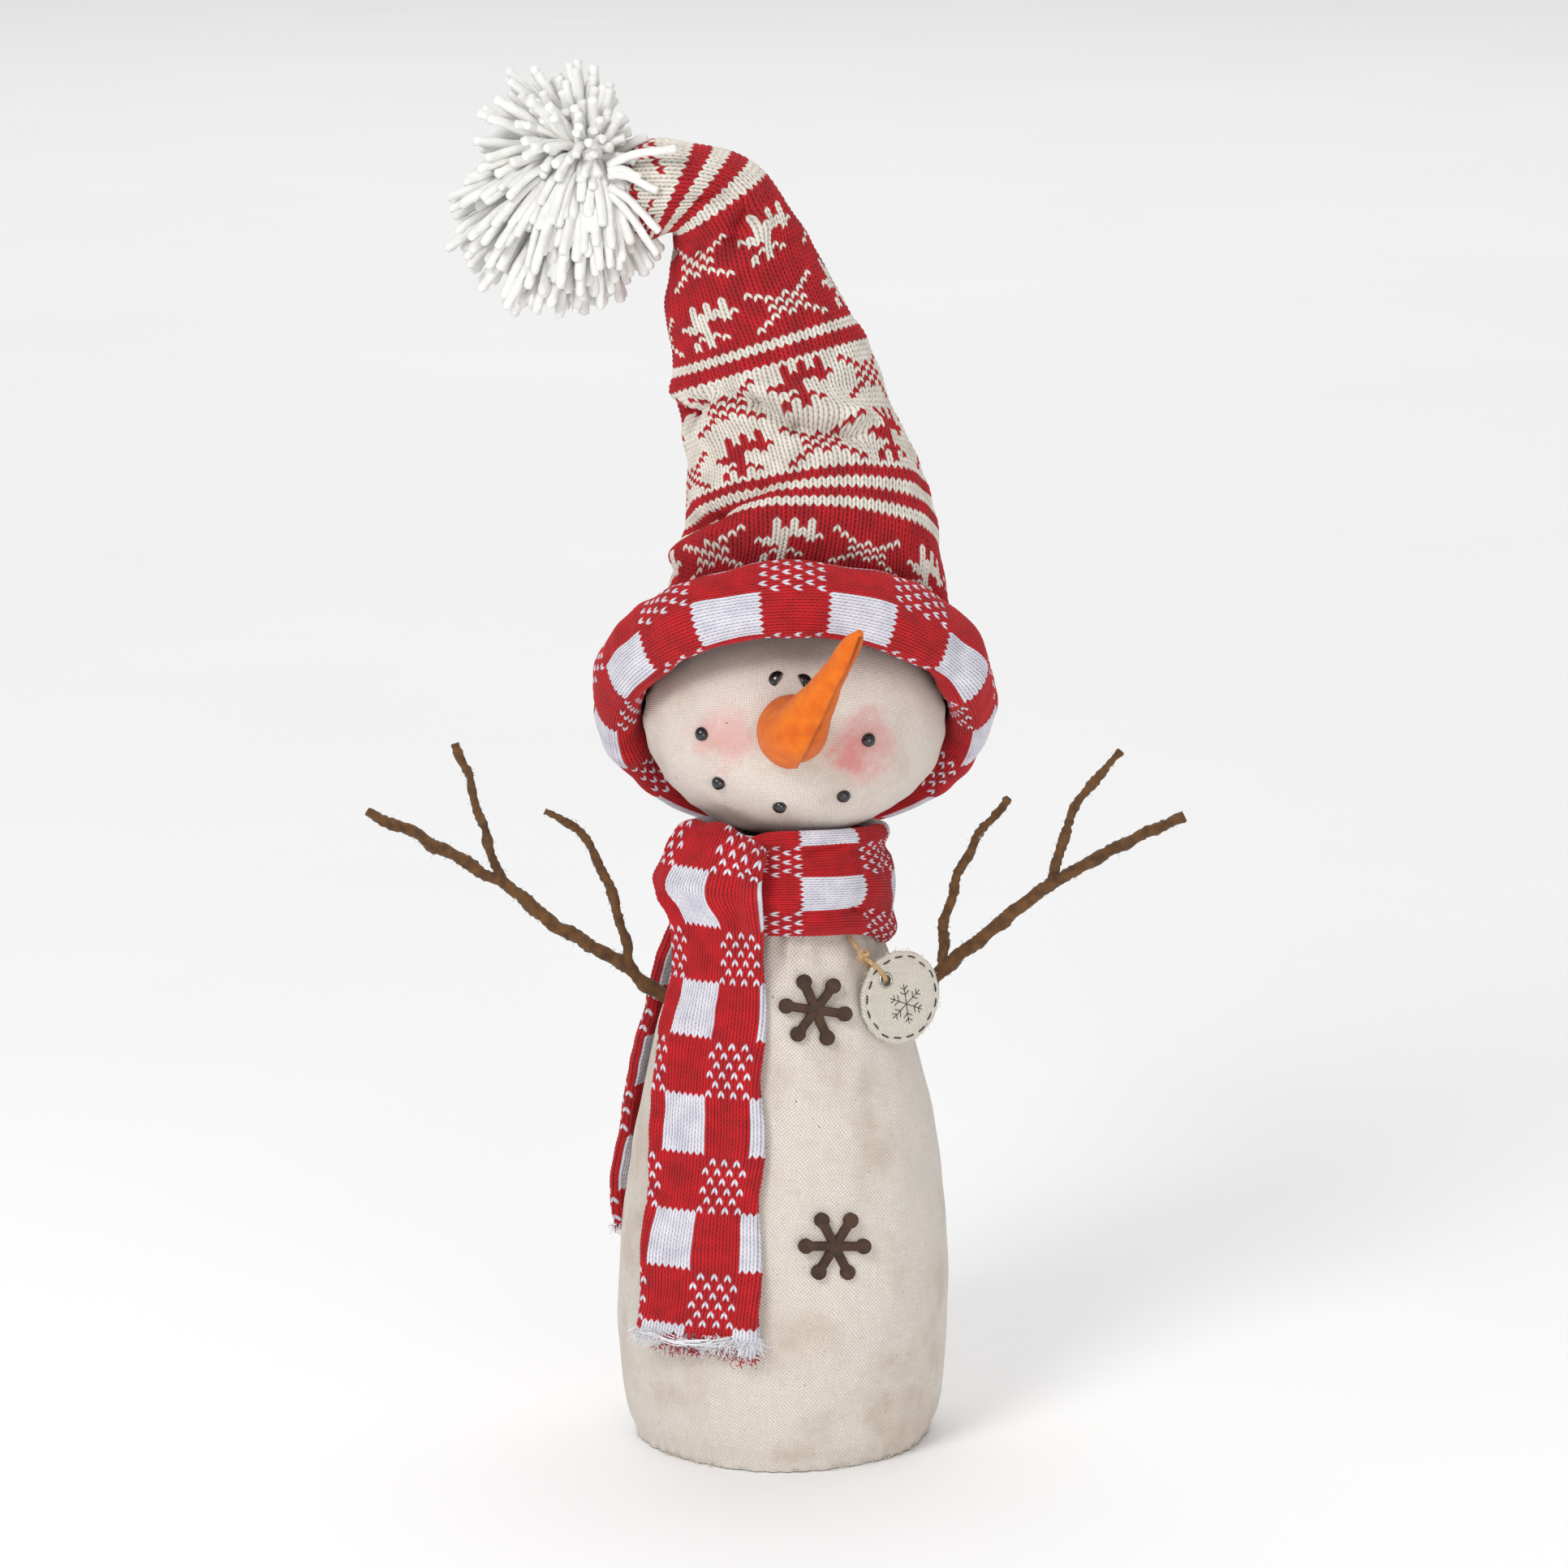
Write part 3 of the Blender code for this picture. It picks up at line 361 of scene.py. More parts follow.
def folded(points, folds):
    """How far each point is moved by folds, each a line with a height and a width."""
    moved = np.zeros(points.shape[:-1])
    for start, end, height, width in folds:
        start, end = np.array(start, float), np.array(end, float)
        along = end - start
        share = np.clip(((points - start) @ along) / (along @ along), 0, 1)
        away = np.linalg.norm(points - start - share[..., None] * along, axis=-1)
        moved += height * np.exp(-((away / width) ** 2))
    return moved


def grid_quads(rows, columns, closed=False):
    """Quads between the points of a grid. In a closed one the last column's points are the first's."""
    index = np.arange(rows * columns).reshape(rows, columns)
    if closed:
        index[:, -1] = index[:, 0]
    return np.stack([index[:-1, :-1], index[:-1, 1:], index[1:, 1:], index[1:, :-1]], -1).reshape(-1, 4)


def add_object(name, data):
    thing = bpy.data.objects.new(name, data)
    bpy.context.scene.collection.objects.link(thing)
    return thing


def add_values(mesh, name, values):
    """Gives each point a value that a material can read."""
    attribute = mesh.attributes.new(name, "FLOAT", "POINT")
    attribute.data.foreach_set("value", values.astype(np.float32).ravel())


def quad_object(name, points, quads, materials, face_material=None, cloth=None, stitch_shade=None):
    """A smooth mesh object. cloth is each point's place on the flat cloth, and the last argument how lit it
    is, a painted shade for the valleys and holes between stitches.
    """
    mesh = bpy.data.meshes.new(name)
    points = np.asarray(points, float).reshape(-1, 3)
    mesh.vertices.add(len(points))
    mesh.vertices.foreach_set("co", (points * MM).astype(np.float32).ravel())
    mesh.loops.add(quads.size)
    mesh.loops.foreach_set("vertex_index", quads.astype(np.int32).ravel())
    mesh.polygons.add(len(quads))
    mesh.polygons.foreach_set("loop_start", np.arange(0, quads.size, 4, dtype=np.int32))
    mesh.update(calc_edges=True)
    for material in materials:
        mesh.materials.append(material)
    if face_material is not None:
        mesh.polygons.foreach_set("material_index", face_material.astype(np.int32).ravel())
    if cloth is not None:
        layer = mesh.uv_layers.new(name="cloth")
        layer.uv.foreach_set("vector", cloth.reshape(-1, 2)[quads.ravel()].astype(np.float32).ravel())
    if stitch_shade is not None:
        add_values(mesh, "stitch_shade", stitch_shade)
    mesh.shade_smooth()
    mesh.validate()
    return add_object(name, mesh)


def grid_object(name, points, material, cloth=None):
    return quad_object(name, points, grid_quads(*points.shape[:2]), [material], cloth=cloth)


@contextlib.contextmanager
def editing(thing):
    """Opens an object's mesh for changes, and leaves it smooth."""
    bm = bmesh.new()
    bm.from_mesh(thing.data)
    yield bm
    bm.to_mesh(thing.data)
    bm.free()
    thing.data.shade_smooth()


def drop_loose_points(bm):
    bmesh.ops.delete(bm, geom=[v for v in bm.verts if not v.link_faces], context="VERTS")


def fill_holes(bm):
    bmesh.ops.holes_fill(bm, edges=[edge for edge in bm.edges if edge.is_boundary], sides=0)


def weld(thing, distance=0.02):
    """Joins points that lie together, such as the two sides of a tube's seam."""
    with editing(thing) as bm:
        bmesh.ops.remove_doubles(bm, verts=bm.verts, dist=distance * MM)
        bmesh.ops.dissolve_degenerate(bm, edges=bm.edges, dist=0.001 * MM)
    return thing


def close_holes(thing):
    """Fills a tube's open ends."""
    with editing(thing) as bm:
        fill_holes(bm)
        bmesh.ops.recalc_face_normals(bm, faces=bm.faces)
    return thing


def joined(name, things):
    """One object from several, in their order."""
    with bpy.context.temp_override(active_object=things[0], selected_editable_objects=things):
        bpy.ops.object.join()
    things[0].name = name
    things[0].data.name = name
    return things[0]


def tube_points(route, radii, sides, lobes=0, lobe_height=0.0, twist=0.0):
    """A tube's points round a route. Lobes are plies, which turn by twist degrees for each mm."""
    route = np.asarray(route, float)
    along = unit(np.gradient(route, axis=0))
    side = np.cross(along[0], UP)
    if np.linalg.norm(side) < 0.1:
        side = np.array([1.0, 0, 0])
    across = np.zeros_like(route)
    for i, way in enumerate(along):
        side = side - way * (side @ way)
        side = side / np.linalg.norm(side)
        across[i] = side
    other = np.cross(along, across)
    angles = np.linspace(0, 2 * math.pi, sides + 1)
    distance = distances_along(route)
    radius = np.broadcast_to(np.asarray(radii, float), (len(route),))[:, None] * np.ones(sides + 1)
    if lobes:
        turn = np.radians(twist) * distance[:, None]
        radius = radius * (1 + lobe_height * np.cos(lobes * (angles[None] + turn)))
    ring = across[:, None] * (np.cos(angles)[None, :, None] * radius[..., None])
    ring = ring + other[:, None] * (np.sin(angles)[None, :, None] * radius[..., None])
    return route[:, None] + ring, distance, angles


def tube(name, route, radii, material, sides, close=True, **shape):
    points, distance, angles = tube_points(route, radii, sides, **shape)
    cloth = np.stack(np.meshgrid(angles * np.mean(radii), distance), -1)
    thing = weld(grid_object(name, points, material, cloth=cloth), 0.005)
    return close_holes(thing) if close else thing


def many_tubes(name, routes, radii, material, sides, **shape):
    """Many thin tubes, such as strands or fibres, as one object."""
    places, quads, cloths, offset = [], [], [], 0
    for route, radius in zip(routes, radii):
        points, distance, angles = tube_points(route, radius, sides, **shape)
        rows, columns = points.shape[:2]
        quads.append(grid_quads(rows, columns, closed=True) + offset)
        cloth = np.stack(np.meshgrid(angles * np.mean(radius), distance + offset), -1)
        cloths.append(cloth.reshape(-1, 2))
        places.append(points.reshape(-1, 3))
        offset += rows * columns
    thing = quad_object(name, np.vstack(places), np.vstack(quads), [material], cloth=np.vstack(cloths))
    with editing(thing) as bm:
        drop_loose_points(bm)
        fill_holes(bm)
    return thing


# Materials


def linear(code):
    """A colour given as six hex digits, as the shader wants it."""
    parts = [int(code[i:i + 2], 16) / 255 for i in (0, 2, 4)]
    return tuple(c / 12.92 if c <= 0.04045 else ((c + 0.055) / 1.055) ** 2.4 for c in parts) + (1,)


def new_material(name, roughness, metallic=0.0, sheen=0.0):
    material = bpy.data.materials.new(name)
    material.use_nodes = True
    shader = material.node_tree.nodes["Principled BSDF"]
    shader.inputs["Roughness"].default_value = roughness
    shader.inputs["Metallic"].default_value = metallic
    shader.inputs["Sheen Weight"].default_value = sheen
    shader.inputs["Sheen Roughness"].default_value = 0.5
    return material


def node(material, kind, inputs=(), **settings):
    """Adds a node. Each input is a socket to link from, or a plain value."""
    made = material.node_tree.nodes.new(kind)
    for key, value in settings.items():
        setattr(made, key, value)
    for key, value in dict(inputs).items():
        if isinstance(value, bpy.types.NodeSocket):
            material.node_tree.links.new(value, made.inputs[key])
        else:
            made.inputs[key].default_value = value
    return made


def connect(material, socket, name):
    material.node_tree.links.new(socket, material.node_tree.nodes["Principled BSDF"].inputs[name])


def scaled(material, place, scale):
    return node(material, "ShaderNodeMapping", {"Vector": place, "Scale": scale}).outputs["Vector"]


def cloth_place(material, scale=(1, 1, 1)):
    """Each point's place on the flat cloth, in mm."""
    return scaled(material, node(material, "ShaderNodeUVMap", uv_map="cloth").outputs["UV"], scale)


def object_place(material):
    """Each point's place in the piece, in mm."""
    place = node(material, "ShaderNodeTexCoord").outputs["Object"]
    return scaled(material, place, (1 / MM,) * 3)


def noise_of(material, place, size, detail, roughness=0.55):
    texture = node(material, "ShaderNodeTexNoise",
                   {"Vector": place, "Scale": 1 / size, "Detail": detail, "Roughness": roughness})
    return texture.outputs["Fac"]


def spread(material, value, low, high, to_low=0.0, to_high=1.0, kind="LINEAR"):
    """Maps low to to_low and high to to_high."""
    inputs = {"Value": value, "From Min": low, "From Max": high, "To Min": to_low, "To Max": to_high}
    return node(material, "ShaderNodeMapRange", inputs, interpolation_type=kind).outputs["Result"]


def math_of(material, operation, a, b=0.0):
    return node(material, "ShaderNodeMath", {0: a, 1: b}, operation=operation).outputs[0]


def mix(material, share, a, b, kind="MIX"):
    mixed = node(material, "ShaderNodeMix", {0: share, 6: a, 7: b}, data_type="RGBA", blend_type=kind)
    return mixed.outputs[2]


def shaded(material, value, low, high, dark, light):
    """From a dark to a light colour, as the value goes from low to high."""
    return mix(material, spread(material, value, low, high), linear(dark), linear(light))


def tinted(material, colour, tint, value, low, high, to_low, to_high):
    """Puts a tint over a colour, by a share that follows the value as spread does."""
    return mix(material, spread(material, value, low, high, to_low, to_high), colour, tint)


def finish_look(material, colour, height, distance, strength):
    """Connects a material's colour, and fine relief from heights times a distance in mm."""
    connect(material, colour, "Base Color")
    inputs = {"Height": height, "Distance": distance * MM, "Strength": strength}
    connect(material, node(material, "ShaderNodeBump", inputs).outputs["Normal"], "Normal")


def grey(value):
    return (value, value, value, 1)


def yarn_material(name, dark, light, valley):
    """Spun yarn: shade changes along it, fine fibres, and painted shade in the valleys and holes between
    stitches, down to valley.
    """
    material = new_material(name, 0.92, sheen=0.06)
    tone = noise_of(material, cloth_place(material), 7, 2)
    fine = noise_of(material, cloth_place(material, (1.4, 0.5, 1)), 0.3, 3, 0.7)
    colour = shaded(material, tone, 0.32, 0.68, dark, light)
    colour = tinted(material, colour, grey(0.02), fine, 0.35, 0.7, 0.22, 0.0)
    # Painted shade: the mesh's lit value darkens the yarn towards valley in the stitches' valleys and holes.
    stitch_shade = node(material, "ShaderNodeAttribute", attribute_name="stitch_shade").outputs["Fac"]
    hollow = spread(material, stitch_shade, 0.0, 0.75, valley, 1.0, "SMOOTHSTEP")
    shade = node(material, "ShaderNodeCombineColor", {0: hollow, 1: hollow, 2: hollow}).outputs[0]
    finish_look(material, mix(material, 1.0, colour, shade, "MULTIPLY"), fine, 0.14, 0.3)
    return material


def strand_material(name, dark, light, fibre=0.35):
    """Loose yarn, thread or twine, whose plies are in its mesh."""
    material = new_material(name, 0.9, sheen=0.2)
    tone = noise_of(material, cloth_place(material), 6, 2)
    fine = noise_of(material, cloth_place(material, (1.6, 0.4, 1)), 0.25, 3, 0.7)
    colour = shaded(material, tone, 0.3, 0.7, dark, light)
    colour = tinted(material, colour, grey(0.03), fine, 0.3, 0.7, 0.16, 0.0)
    finish_look(material, colour, fine, 0.12, fibre)
    return material


def weave(material, place, pitch):
    """Heights of a plain weave: crossing threads, each over then under the next."""
    parts = node(material, "ShaderNodeSeparateXYZ", {0: place}).outputs
    across, along = (math_of(material, "SINE", math_of(material, "MULTIPLY", parts[i], math.pi / pitch))
                     for i in (0, 1))
    return math_of(material, "MULTIPLY", across, along)


def stained(material, colour, solid, blotch, cloud, stain, amount):
    """Blotches of tea and small dark specks."""
    patch = math_of(material, "MULTIPLY", spread(material, blotch, 0.46, 0.66, 0, 1, "SMOOTHSTEP"),
                    spread(material, cloud, 0.3, 0.62, 0.35, 1))
    colour = mix(material, math_of(material, "MULTIPLY", patch, amount), colour, linear(stain))
    specks = noise_of(material, solid, 1.7, 2, 0.4)
    return tinted(material, colour, linear("7A6248"), specks, 0.735, 0.79, 0, 0.75)


def blushed(material, colour, solid, cloud, threads, spots):
    """Soft red spots, each given by its centre, radius and strength."""
    for centre, radius, strength in spots:
        away = node(material, "ShaderNodeVectorMath", {0: solid, 1: centre}, operation="DISTANCE")
        warped = math_of(material, "ADD", away.outputs["Value"], spread(material, cloud, 0.2, 0.8, -8, 8))
        share = spread(material, warped, radius, radius * 0.15, 0, strength, "SMOOTHSTEP")
        share = math_of(material, "MULTIPLY", share, spread(material, threads, -1, 1, 0.65, 1.1))
        colour = mix(material, share, colour, linear("D8505A"))
    return colour


def canvas_material(name, light, dark, stain, stain_amount, pitch, turn, blush=()):
    """Tea-stained cotton canvas: plain weave with slubs, blotches, specks and, on a face, blush."""
    material = new_material(name, 0.93, sheen=0.15)
    turned = {"Vector": cloth_place(material), "Rotation": (0, 0, math.radians(turn))}
    place = node(material, "ShaderNodeMapping", turned).outputs["Vector"]
    wobble = noise_of(material, place, 5, 2)
    shift = node(material, "ShaderNodeCombineXYZ", {0: wobble, 1: wobble}).outputs[0]
    shifted = node(material, "ShaderNodeVectorMath", {0: place, 1: shift}, operation="ADD").outputs[0]
    threads = weave(material, shifted, pitch)
    solid = object_place(material)
    slubs = [noise_of(material, scaled(material, place, scale), 1.0, 2)
             for scale in ((0.12, 2.2, 1), (2.2, 0.12, 1))]
    streak = math_of(material, "ADD", *slubs)
    blotch, cloud = noise_of(material, solid, 34, 4, 0.6), noise_of(material, solid, 11, 3, 0.6)
    # Painted shade of the weave: threads are darker where they dip under, lighter where they cross over.
    colour = shaded(material, threads, -1, 1, dark, light)
    colour = tinted(material, colour, linear(light), streak, 1.06, 1.3, 0.0, 0.4)
    colour = tinted(material, colour, linear(dark), streak, 0.94, 0.7, 0.0, 0.45)
    colour = stained(material, colour, solid, blotch, cloud, stain, stain_amount)
    colour = blushed(material, colour, solid, cloud, threads, blush)
    height = math_of(material, "ADD", threads, math_of(material, "MULTIPLY", streak, 1.2))
    finish_look(material, colour, height, 0.14, 0.9)
    return material


def felt_material(name, dark, light, edge, size=2.2):
    """Pressed felt: matted fibres and cloudy colour, and a painted shadow colour, edge, where its value
    "hollow" is 1.
    """
    material = new_material(name, 0.96, sheen=0.12)
    place = object_place(material)
    cloud = noise_of(material, place, size * 2.5, 3)
    fibres = noise_of(material, place, size * 0.16, 4, 0.75)
    colour = shaded(material, cloud, 0.32, 0.68, dark, light)
    colour = tinted(material, colour, linear(dark), fibres, 0.38, 0.66, 0.3, 0.0)
    # hollow is painted shadow, set on the nose by its lapped edge; edge is that shadow's colour.
    hollow = node(material, "ShaderNodeAttribute", attribute_name="hollow").outputs["Fac"]
    finish_look(material, mix(material, hollow, colour, linear(edge)), fibres, 0.3, 0.7)
    return material


def bead_material():
    material = new_material("glossy_black_bead", 0.16)
    marks = noise_of(material, object_place(material), 0.9, 3)
    connect(material, mix(material, marks, linear("08080A"), linear("1C1B1E")), "Base Color")
    connect(material, spread(material, marks, 0.3, 0.7, 0.1, 0.3), "Roughness")
    material.node_tree.nodes["Principled BSDF"].inputs["Coat Weight"].default_value = 0.5
    return material


def rust_material():
    material = new_material("rusty_tin", 0.7, 0.35)
    place = object_place(material)
    cloud = noise_of(material, place, 5, 4, 0.65)
    grain = noise_of(material, place, 0.5, 4, 0.7)
    colour = shaded(material, cloud, 0.35, 0.65, "34261E", "523A2C")
    colour = tinted(material, colour, linear("6C4228"), grain, 0.52, 0.7, 0, 0.7)
    colour = tinted(material, colour, linear("1E1512"), grain, 0.44, 0.32, 0, 0.8)
    connect(material, spread(material, grain, 0.3, 0.7, 0.5, 0.85), "Roughness")
    finish_look(material, colour, grain, 0.16, 0.9)
    return material


def metal_material(name, light, dark, roughness):
    material = new_material(name, roughness, 1.0)
    scratches = noise_of(material, object_place(material), 0.8, 4, 0.7)
    connect(material, shaded(material, scratches, 0.35, 0.7, dark, light), "Base Color")
    connect(material, spread(material, scratches, 0.3, 0.7, roughness * 0.7, roughness * 1.5), "Roughness")
    return material


def plain_material(name, dark, light, size):
    """For inner pieces: matt, with a mottled surface."""
    material = new_material(name, 0.95)
    cloud = noise_of(material, object_place(material), size, 4, 0.65)
    finish_look(material, shaded(material, cloud, 0.3, 0.7, dark, light), cloud, 0.3, 0.6)
    return material


def floor_material():
    material = new_material("pale_floor", 0.85)
    cloud = noise_of(material, object_place(material), 400, 3)
    connect(material, mix(material, cloud, linear("F4F4F4"), linear("FAFAFA")), "Base Color")
    return material


BLUSHES = [((-23, -41, 268), 17, 0.42), ((28, -40, 266), 19, 0.5), ((24, -42, 264), 9, 0.4)]
LOOKS = {
    # For each yarn the last number is how dark its painted shade in the stitches' valleys goes.
    "hat_red": yarn_material("hat_red_yarn", "A00A18", "C40A1C", 0.22),
    "hat_cream": yarn_material("hat_cream_yarn", "D9D0C4", "F1EADF", 0.42),
    "scarf_red": yarn_material("scarf_red_yarn", "B00614", "D20818", 0.22),
    "scarf_white": yarn_material("scarf_white_yarn", "D6D3E0", "EFECF5", 0.46),
    "canvas": canvas_material("stained_canvas", "EAE3DB", "BDB1A6", "B8A38C", 0.55, pitch=0.72, turn=8),
    "face_canvas": canvas_material("face_canvas", "EFE5DD", "C2B5AA", "BBA893", 0.45, pitch=0.66, turn=38,
                                   blush=BLUSHES),
    "tag_canvas": canvas_material("tag_canvas", "E4DED4", "B4AB9C", "C3B39A", 0.3, pitch=0.62, turn=10),
    # The last colour is the painted shadow beside the nose's lapped edge.
    "orange_felt": felt_material("orange_felt", "D45E02", "EA7A06", "8E3C04"),
    "brown_felt": felt_material("brown_fibre", "4A3018", "765028", "4A3018", 1.6),
    "pompom": strand_material("white_pompom_yarn", "E4E3DF", "F4F3F0", 0.3),
    "white_thread": strand_material("white_thread", "E2E2E6", "F8F8FA"),
    "red_thread": strand_material("red_thread", "A80E1C", "CE1624"),
    "black_thread": strand_material("black_thread", "17171A", "2E2E33"),
    "cream_thread": strand_material("canvas_thread", "CFC4B2", "E8E0D2"),
    "jute": strand_material("jute_twine", "A88252", "D8B684", 0.8),
    "bead": bead_material(),
    "rusty_metal": rust_material(),
    "eyelet_metal": metal_material("bright_nickel", "DEDCD8", "9A968E", 0.2),
    "steel_wire": metal_material("steel_wire", "A8A8AA", "7E7F82", 0.4),
    "stuffing": plain_material("polyester_stuffing", "D8D8D4", "F2F2EE", 3),
    "board": plain_material("grey_board", "7D6A52", "A08B6E", 1.5),
    "weight_pellets": plain_material("pellet_bag", "8E887A", "B4AD9C", 2),
    "floor": floor_material(),
}
CHECK_YARNS = [LOOKS["scarf_red"], LOOKS["scarf_white"]]
# Material slots whose look has another name.
SLOT_LOOKS = {"hat_knit": "hat_red", "scarf_knit": "scarf_red", "yarn": "pompom"}


def dress_cad_nodes():
    """Every CAD node gets the look of its material slot."""
    for row in frame["record"]["subparts"]:
        slot = row["material_slot"]
        mesh = frame["nodes"][row["node"]].data
        mesh.materials.clear()
        mesh.materials.append(LOOKS[SLOT_LOOKS.get(slot, slot)])


# Knitting


def stitch_shape(share, along):
    """How far points rise and sink, and how lit they are, at a share across a stitch and a place along."""
    pinch = abs(2 * (along % 1) - 1) ** 3
    rise = np.sin(math.pi * ((share * 2) % 1)) ** 0.8 * (1 - 0.55 * pinch)
    hole = np.exp(-(((share - 0.5) / 0.14) ** 2)) + np.exp(-((np.minimum(share, 1 - share) / 0.1) ** 2)) * 0.6
    light = np.clip(rise + 0.3 - hole * (0.16 + 0.75 * pinch), 0, 1)
    return rise, 0.25 * hole * pinch, light


def knit(name, wales, first, last, surface, pattern, yarns, wale, course, outward=1, half_width=None,
         keep=None, lean=LEAN, relief=STITCH_RELIEF, leg_quads=LEG_QUADS):
    """A knitted patch of stitches from course first to course last.

    surface(s, t) gives points from mm across and along the cloth. pattern(wale, course) gives each stitch's
    yarn. half_width(t) narrows the patch to a seam, and keep(wale, course) leaves stitches out.
    """
    columns = wales * 2 * leg_quads + 1
    rows = (last - first) * COURSE_QUADS + 1
    across, along = np.meshgrid(np.arange(columns) / (2 * leg_quads), first + np.arange(rows) / COURSE_QUADS)
    share = across % 1
    rise, hollow, light = stitch_shape(share, along)
    s = (across - wales / 2) * wale
    t = (along + lean * (abs(2 * share - 1) - 0.5)) * course
    if half_width:
        half = half_width(t)
        rise = rise * np.clip((half - abs(s)) / (0.5 * wale), 0, 1)
        s = np.clip(s, -half, half)
    step = 0.4
    right, left = surface(s + step, t), surface(s - step, t)
    further, nearer = surface(s, t + step), surface(s, t - step)
    normal = unit(np.cross(right - left, further - nearer)) * outward
    points = surface(s, t) + normal * ((rise - hollow) * relief)[..., None]
    stitch_wale, stitch_course = np.meshgrid(np.repeat(np.arange(wales), 2 * leg_quads),
                                             first + np.arange(rows - 1) // COURSE_QUADS)
    yarn = pattern(stitch_wale, stitch_course)
    used = np.ones(yarn.shape, bool)
    if half_width:
        wide = abs(np.diff(s, axis=1)) > 0.001
        used = wide[:-1] | wide[1:]
    if keep:
        used = used & keep(stitch_wale, stitch_course)
    quads = grid_quads(rows, columns)[used.ravel()]
    if outward < 0:
        quads = quads[:, ::-1]
    # light goes to the mesh as the painted shade of the stitches' valleys and holes.
    thing = quad_object(name, points, quads, yarns, yarn.ravel()[used.ravel()], np.stack([s, t], -1), light)
    with editing(thing) as bm:
        drop_loose_points(bm)
        bmesh.ops.remove_doubles(bm, verts=bm.verts, dist=0.01 * MM)
    return thing


def checks(first_wale, first_course, phase=0):
    """A pattern of buffalo check: rows of white and red blocks, then of red and mixed blocks. 1 is white."""
    def pattern(wale, course):
        block_across = (wale - first_wale) // BLOCK_WALES
        block_along = (course - first_course) // BLOCK_COURSES + phase
        white = (block_across % 2 == 0) & (block_along % 2 == 1)
        mixed = (block_across % 2 == 1) & (block_along % 2 == 0)
        dots = (course % 2 == 0) & ((wale + course // 2) % 2 == 0)
        return (white | (mixed & dots)).astype(int)

    return pattern


# Hat


def loft_table(sections, count):
    """Finely spaced rows along sections: place along, centre, across, other way, and the two half sizes."""
    centres = np.array([row[0] for row in sections], float)
    facings = unit(np.array([row[1] for row in sections], float))
    halves = np.array([row[2:] for row in sections], float)
    stops = distances_along(centres)
    at = np.linspace(0, stops[-1], count)
    rows = smooth(stops, np.hstack([centres, facings, halves]), at)
    facing = unit(rows[:, 3:6])
    across = np.zeros_like(facing)
    way = np.array([1.0, 0, 0])
    for i, normal in enumerate(facing):
        way = unit(way - normal * (way @ normal))
        across[i] = way
    return at, np.hstack([rows[:, :3], across, np.cross(facing, across), rows[:, 6:]])


def read_table(table, place, columns):
    """Some of a table's columns at a place along it."""
    at, rows = table
    return [np.interp(place, at, rows[:, i]) for i in columns]


def loft_point(table, place, angle):
    """The point at a place along and an angle round from the front, with the direction out of the middle."""
    values = read_table(table, place, range(11))
    centre, across, other = (np.stack(values[i:i + 3], -1) for i in (0, 3, 6))
    half_x, half_y = values[9:]
    out = across * (np.sin(angle) * half_x)[..., None] - other * (np.cos(angle) * half_y)[..., None]
    return centre + out, unit(out)


HAT_TABLE = loft_table(HAT_SECTIONS, 500)
# How far along the front of the hat each of its table's rows is.
HAT_FRONT = distances_along(loft_point(HAT_TABLE, HAT_TABLE[0], np.zeros(len(HAT_TABLE[0])))[0])


def hat_half_round(t):
    """Half the way round the hat at the course that is t along the front."""
    half_x, half_y = read_table(HAT_TABLE, np.interp(t, HAT_FRONT, HAT_TABLE[0]), (9, 10))
    return math.pi * np.sqrt((half_x**2 + half_y**2) / 2)


def hat_surface(s, t):
    place = np.interp(t, HAT_FRONT, HAT_TABLE[0])
    half = hat_half_round(t)
    share = np.clip(s / half, -1, 1)
    point, out = loft_point(HAT_TABLE, place, math.pi * share)
    seam = -2.2 * np.exp(-(((1 - abs(share)) * half / 2.2) ** 2)) * np.clip(t / 16, 0.1, 1)
    flare = (4 + 0.9 * np.cos(2 * math.pi * share)) * np.clip((18 - t) / 17, 0, 1)
    soft = lumps(point, 3, (0.9, 26), (0.35, 9)) * np.clip((t - 12) / 25, 0.15, 1)
    return point + out * (seam + flare + soft + folded(point, HAT_FOLDS))[..., None]


def motif_rows():
    """Both motifs with their lowest course first on the hat, where they are upside down."""
    flake = FLAKE_HALF + FLAKE_HALF[-2::-1] + ["." * 9]
    return [np.array([[mark == "#" for mark in line] for line in rows]) for rows in (DEER, flake)]


def hat_pattern(wale, course):
    """Bands of reindeer and snowflakes between stripes. 1 is cream."""
    cream = np.zeros(wale.shape, int)
    for first, last in ((25, 27), (29, 31), (33, 57), (60, 62), (92, 95), (98, 101), (104, 130)):
        cream[(course >= first) & (course < last)] = 1
    deer, flake = motif_rows()
    for low, shift in ((0, 0), (12, 8), (34, 13), (46, 4), (64, 12), (78, 2), (107, 9)):
        row, column = course - low, (wale + shift) % MOTIF_REPEAT
        inside = (row >= 0) & (row < len(deer))
        row = np.clip(row, 0, len(deer) - 1)
        drawn = np.where(column < 8, deer[row, np.clip(column, 0, 7)],
                         (column > 8) & (column < 18) & flake[row, np.clip(column - 9, 0, 8)])
        cream = np.where(inside & drawn, 1 - cream, cream)
    return cream


def make_hat():
    yarns = [LOOKS["hat_red"], LOOKS["hat_cream"]]
    widest = np.array([4.0])
    wales = 2 * math.ceil(hat_half_round(widest)[0] / HAT_WALE)
    pieces = []
    for name, first, last in HAT_PIECES:
        piece = knit(name, wales, first, last, hat_surface, hat_pattern, yarns, HAT_WALE, HAT_COURSE,
                     half_width=hat_half_round, lean=-LEAN, relief=HAT_RELIEF, leg_quads=4)
        pieces.append(piece)
    *crown, tip = pieces
    for piece in crown:
        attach(piece, "snowman")
    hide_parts("hat_crown", "hat_filling")
    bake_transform(tip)
    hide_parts("hat_tip", "hat_tip_filling")


